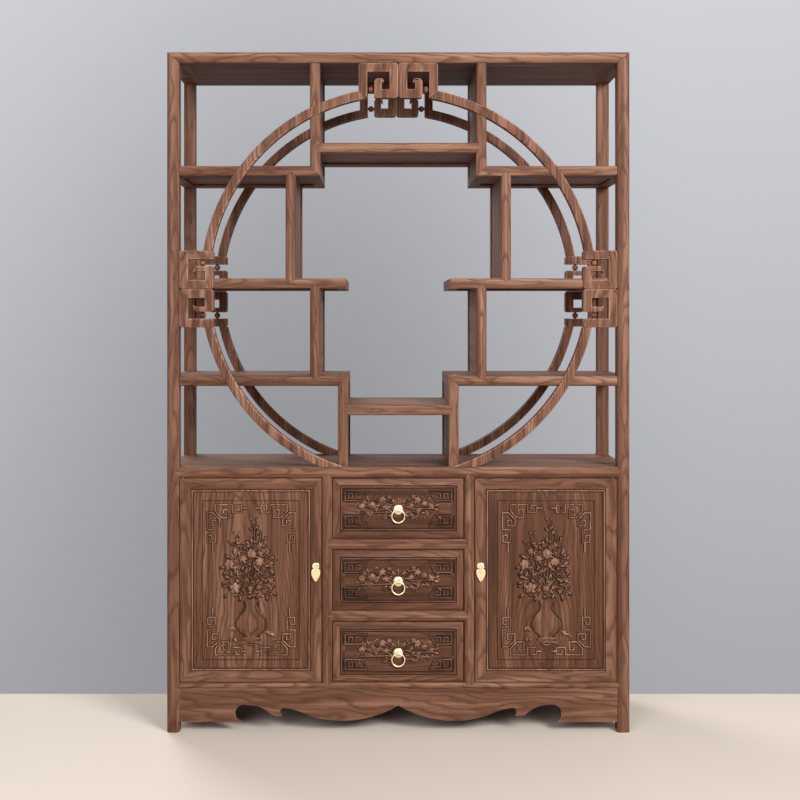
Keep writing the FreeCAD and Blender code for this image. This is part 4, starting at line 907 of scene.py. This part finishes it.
# Lacquer gives the brass a pale gold shine, a little duller in patches about 10 mm across
place = add_node(tree, "TexCoord", {}).outputs["Object"]
patches = add_node(tree, "TexNoise", {"Vector": place, "Scale": 90.0, "Detail": 1.0})
colour = add_node(tree, "ValToRGB", {"Fac": patches})
colour_ramp(colour, ((0.3, "#f6e2b0"), (0.7, "#fff2cc")))
dull = add_node(tree, "MapRange", {"Value": patches, "To Min": 0.26, "To Max": 0.38})
cast = add_node(tree, "Bump", {"Height": patches, "Strength": 0.08, "Distance": 0.0003})
set_inputs(shader, {"Base Color": colour, "Metallic": 1.0, "Roughness": dull, "Normal": cast})


leaf_stations = [(0, 6.2), (0.8, 8.4), (2.2, 10.6), (4.6, 12.4), (8, 13.3), (12, 13.5), (17, 12.6),
                 (23, 10.3), (28, 7.6), (32, 4.9), (35, 2.5), (37, 0.5)]
pin_depth, pin_level = -176.6, 484
for side, middle in (("left", -242.5), ("right", 242.5)):
    plate = turned(f"{side}_plate_disc", (middle, front_face, 488), -DEEP, [
        (0, 11), (1.0, 11), (1.8, 10.4), (2.2, 9.4), (2.5, 7), (2.7, 4.5), (2.8, 1.2)], 40)
    ears = [turned("ear", (middle + way * 4.6, pin_depth, pin_level), ACROSS * way, [
        (0, 2.0), (0.3, 2.4), (1.2, 2.5), (2.1, 2.4), (2.4, 1.9)], 24) for way in (-1, 1)]
    webs = [block("web", middle + way * 4.6, middle + way * 7, 482.4, 485.6, -176.8, -171.5, 0.3)
            for way in (-1, 1)]
    pin = turned("pin", (middle - 7.2, pin_depth, pin_level), ACROSS, [
        (0, 1.1), (0.4, 1.5), (14, 1.5), (14.4, 1.1)], 16)
    finish(joined(f"{side}_pull_plate_cast", [plate, *ears, *webs, pin]), f"{side}_door", brass,
           f"{side}_pull_plate")
    leaf = turned("leaf", (middle, 0, 481), -UPWARDS, leaf_stations, 40)
    leaf.data.transform(Matrix.Translation((0, pin_depth * mm, 0)) @ Matrix.Diagonal((1, 0.11, 1, 1)))
    barrel = turned("barrel", (middle - 4.2, pin_depth, pin_level), ACROSS, [
        (0, 2.4), (0.4, 3.0), (8, 3.0), (8.4, 2.4)], 20)
    neck = block("neck", middle - 3.6, middle + 3.6, 479, pin_level, -177.8, -175.4, 0.5)
    finish(joined(f"{side}_pull_leaf", [leaf, neck, barrel]), f"{side}_drop", brass, f"{side}_pull_drop")


# Drawer pulls. A domed brass boss with a knuckle, through which a ring of brass wire hangs. The ring is
# a little thicker at its foot, where the fingers take it.
eye_depth, ring_radius = -173.8, 18.8
for place, level in (("top", 654), ("middle", 443), ("bottom", 232)):
    boss = turned(f"{place}_boss", (0, field_face, level), -DEEP, [
        (0, 14), (1.4, 14), (2.0, 13.4), (2.2, 12.4), (2.0, 11.6), (2.3, 10.8), (3.4, 8.6), (4.2, 6),
        (4.6, 3), (4.7, 0.8)], 48)
    knuckle = turned("knuckle", (-4.5, eye_depth, level), ACROSS, [
        (0, 3.1), (0.5, 4.2), (1.6, 4.9), (4.5, 5.2), (7.4, 4.9), (8.5, 4.2), (9, 3.1)], 28)
    finish(joined(f"{place}_pull_boss_cast", [boss, knuckle]), f"{place}_drawer", brass, f"{place}_pull_boss")
    bpy.ops.mesh.primitive_torus_add(major_radius=ring_radius * mm, minor_radius=2 * mm, major_segments=72,
                                     minor_segments=16, rotation=(math.pi / 2, 0, 0), align="WORLD")
    ring = bpy.context.object
    bpy.ops.object.transform_apply(location=False, rotation=True, scale=False)
    for vertex in ring.data.vertices:
        spot = vertex.co.copy()
        wire = Vector((spot.x, 0, spot.z)).normalized() * ring_radius * mm
        foot = (1 - spot.z / (ring_radius * mm)) / 2
        vertex.co = wire + (spot - wire) * (0.92 + 0.22 * min(max(foot, 0), 1))
    bpy.ops.object.shade_smooth()
    ring.data.transform(Matrix.Translation(Vector((0, eye_depth, level - ring_radius)) * mm))
    ring.name = f"{place}_pull_ring_wire"
    finish(ring, f"{place}_ring", brass, f"{place}_pull_ring")


# Door pivots. Plain pins of the same brass, let into the rails over and under the doors, on which
# the doors turn.
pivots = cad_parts["door_pivots"]
pivots.data.materials.clear()
pivots.data.materials.append(brass)


# Floor of the studio, plain, pale and a little warm, to take the cabinet's shadow. It ends just
# behind the cabinet, where a wall would stand, and it throws little light back up at the wood.
floor = flat_face("floor", [(-6000, -5815, 0), (6000, -5815, 0), (6000, 185, 0), (-6000, 185, 0)])
end_editing()


def seen_rays(tree):
    """One for the rays that show a background: those of the camera, of gloss and through glass."""
    rays = add_node(tree, "LightPath", {}).outputs
    direct = add_node(
        tree, "Math", {0: rays["Is Camera Ray"], 1: rays["Is Glossy Ray"]}, operation="MAXIMUM")
    return add_node(tree, "Math", {0: direct, 1: rays["Is Transmission Ray"]}, operation="MAXIMUM")


paint, tree, shader = new_material("pale_matt_floor")
floor_colour = add_node(tree, "Mix", {
    "Factor": seen_rays(tree), "A": linear("#85786c"), "B": linear("#f2e4d6")},
    data_type="RGBA").outputs["Result"]
set_inputs(shader, {"Base Color": floor_colour, "Roughness": 0.6})
floor.data.materials.append(paint)


# Screen. A black sheet between the rear feet, which the camera doesn't see, keeps light from behind
# off the floor under the cabinet, as a wall would.
screen = flat_face("black_screen", [(-640, 172, 0), (640, 172, 0), (640, 172, 126), (-640, 172, 126)])
end_editing()
cloth, tree, shader = new_material("black_cloth")
set_inputs(shader, {"Base Color": linear("#101010"), "Roughness": 1.0})
screen.data.materials.append(cloth)
screen.visible_camera = False


# Background. To the camera and in reflections it is a cool grey wall, painted lighter upwards as painted
# light, with the cabinet's painted shadow behind it. For the wood it is only a weak, even, white light.
world = bpy.data.worlds.new("studio")
bpy.context.scene.world = world
world.use_nodes = True
tree = world.node_tree
tree.nodes.clear()
way = add_node(tree, "TexCoord", {}).outputs["Generated"]
height = add_node(tree, "SeparateXYZ", {"Vector": way}).outputs["Z"]
rising = add_node(tree, "MapRange", {"Value": height, "From Min": -0.3, "From Max": 0.27})
plain = add_node(tree, "Mix", {
    "Factor": rising, "A": linear("#a8a8ad"), "B": linear("#d2d4d9")}, data_type="RGBA").outputs["Result"]
# The cabinet's painted shadow on the wall, darkest a little left of and below the middle of the view
flattened = add_node(tree, "VectorMath", {0: way, 1: (3.4, 0, 1.8)}, operation="MULTIPLY")
apart = add_node(
    tree, "VectorMath", {0: flattened, 1: (-0.2, 0, -0.17)}, operation="DISTANCE").outputs["Value"]
painted_cabinet_shadow = add_node(tree, "MapRange", {
    "Value": apart, "From Max": 1.2, "To Min": 0.63}, interpolation_type="SMOOTHSTEP")
grey = add_node(tree, "VectorMath", {0: plain, "Scale": painted_cabinet_shadow}, operation="SCALE")
wall = add_node(tree, "Background", {"Color": grey})
soft = add_node(tree, "Background", {"Color": (1, 1, 1, 1), "Strength": 0.15})
both = add_node(tree, "MixShader", {0: seen_rays(tree), 1: soft, 2: wall})
add_node(tree, "OutputWorld", {"Surface": both})


# Lamps. Soft square lights: the main one from the front right and above, a weaker one from the
# front left, and a weak one for the back.
for name, place, target, size, energy in (
        ("key_lamp", (2.4, -3.5, 3.0), (0, 0, 0.95), 1.8, 196),
        ("fill_lamp", (-1.9, -4.4, 2.4), (0, 0, 1), 2.4, 93),
        ("back_lamp", (-2.6, 3.4, 4.6), (0, 0, 1), 2.2, 120)):
    light = bpy.data.lights.new(name, "AREA")
    light.shape = "SQUARE"
    light.size = size
    light.energy = energy
    piece = place_object(name, light)
    piece.location = place
    piece.rotation_euler = (Vector(target) - Vector(place)).to_track_quat("-Z", "Y").to_euler()


# Camera. It stands 3.5 m before the cabinet, 1.2 m above the floor and a little left of the middle,
# level and square to it. The shift centres the cabinet in the picture.
camera = bpy.data.cameras.new("camera")
camera.lens = 53.13
camera.sensor_width = 36
camera.shift_x = 0.0319
camera.shift_y = -0.1020
viewpoint = place_object("camera", camera)
viewpoint.location = (-0.070, -3.642, 1.217)
viewpoint.rotation_euler = (math.pi / 2, 0, 0)
bpy.context.scene.camera = viewpoint

bpy.context.scene.view_settings.view_transform = "Standard"
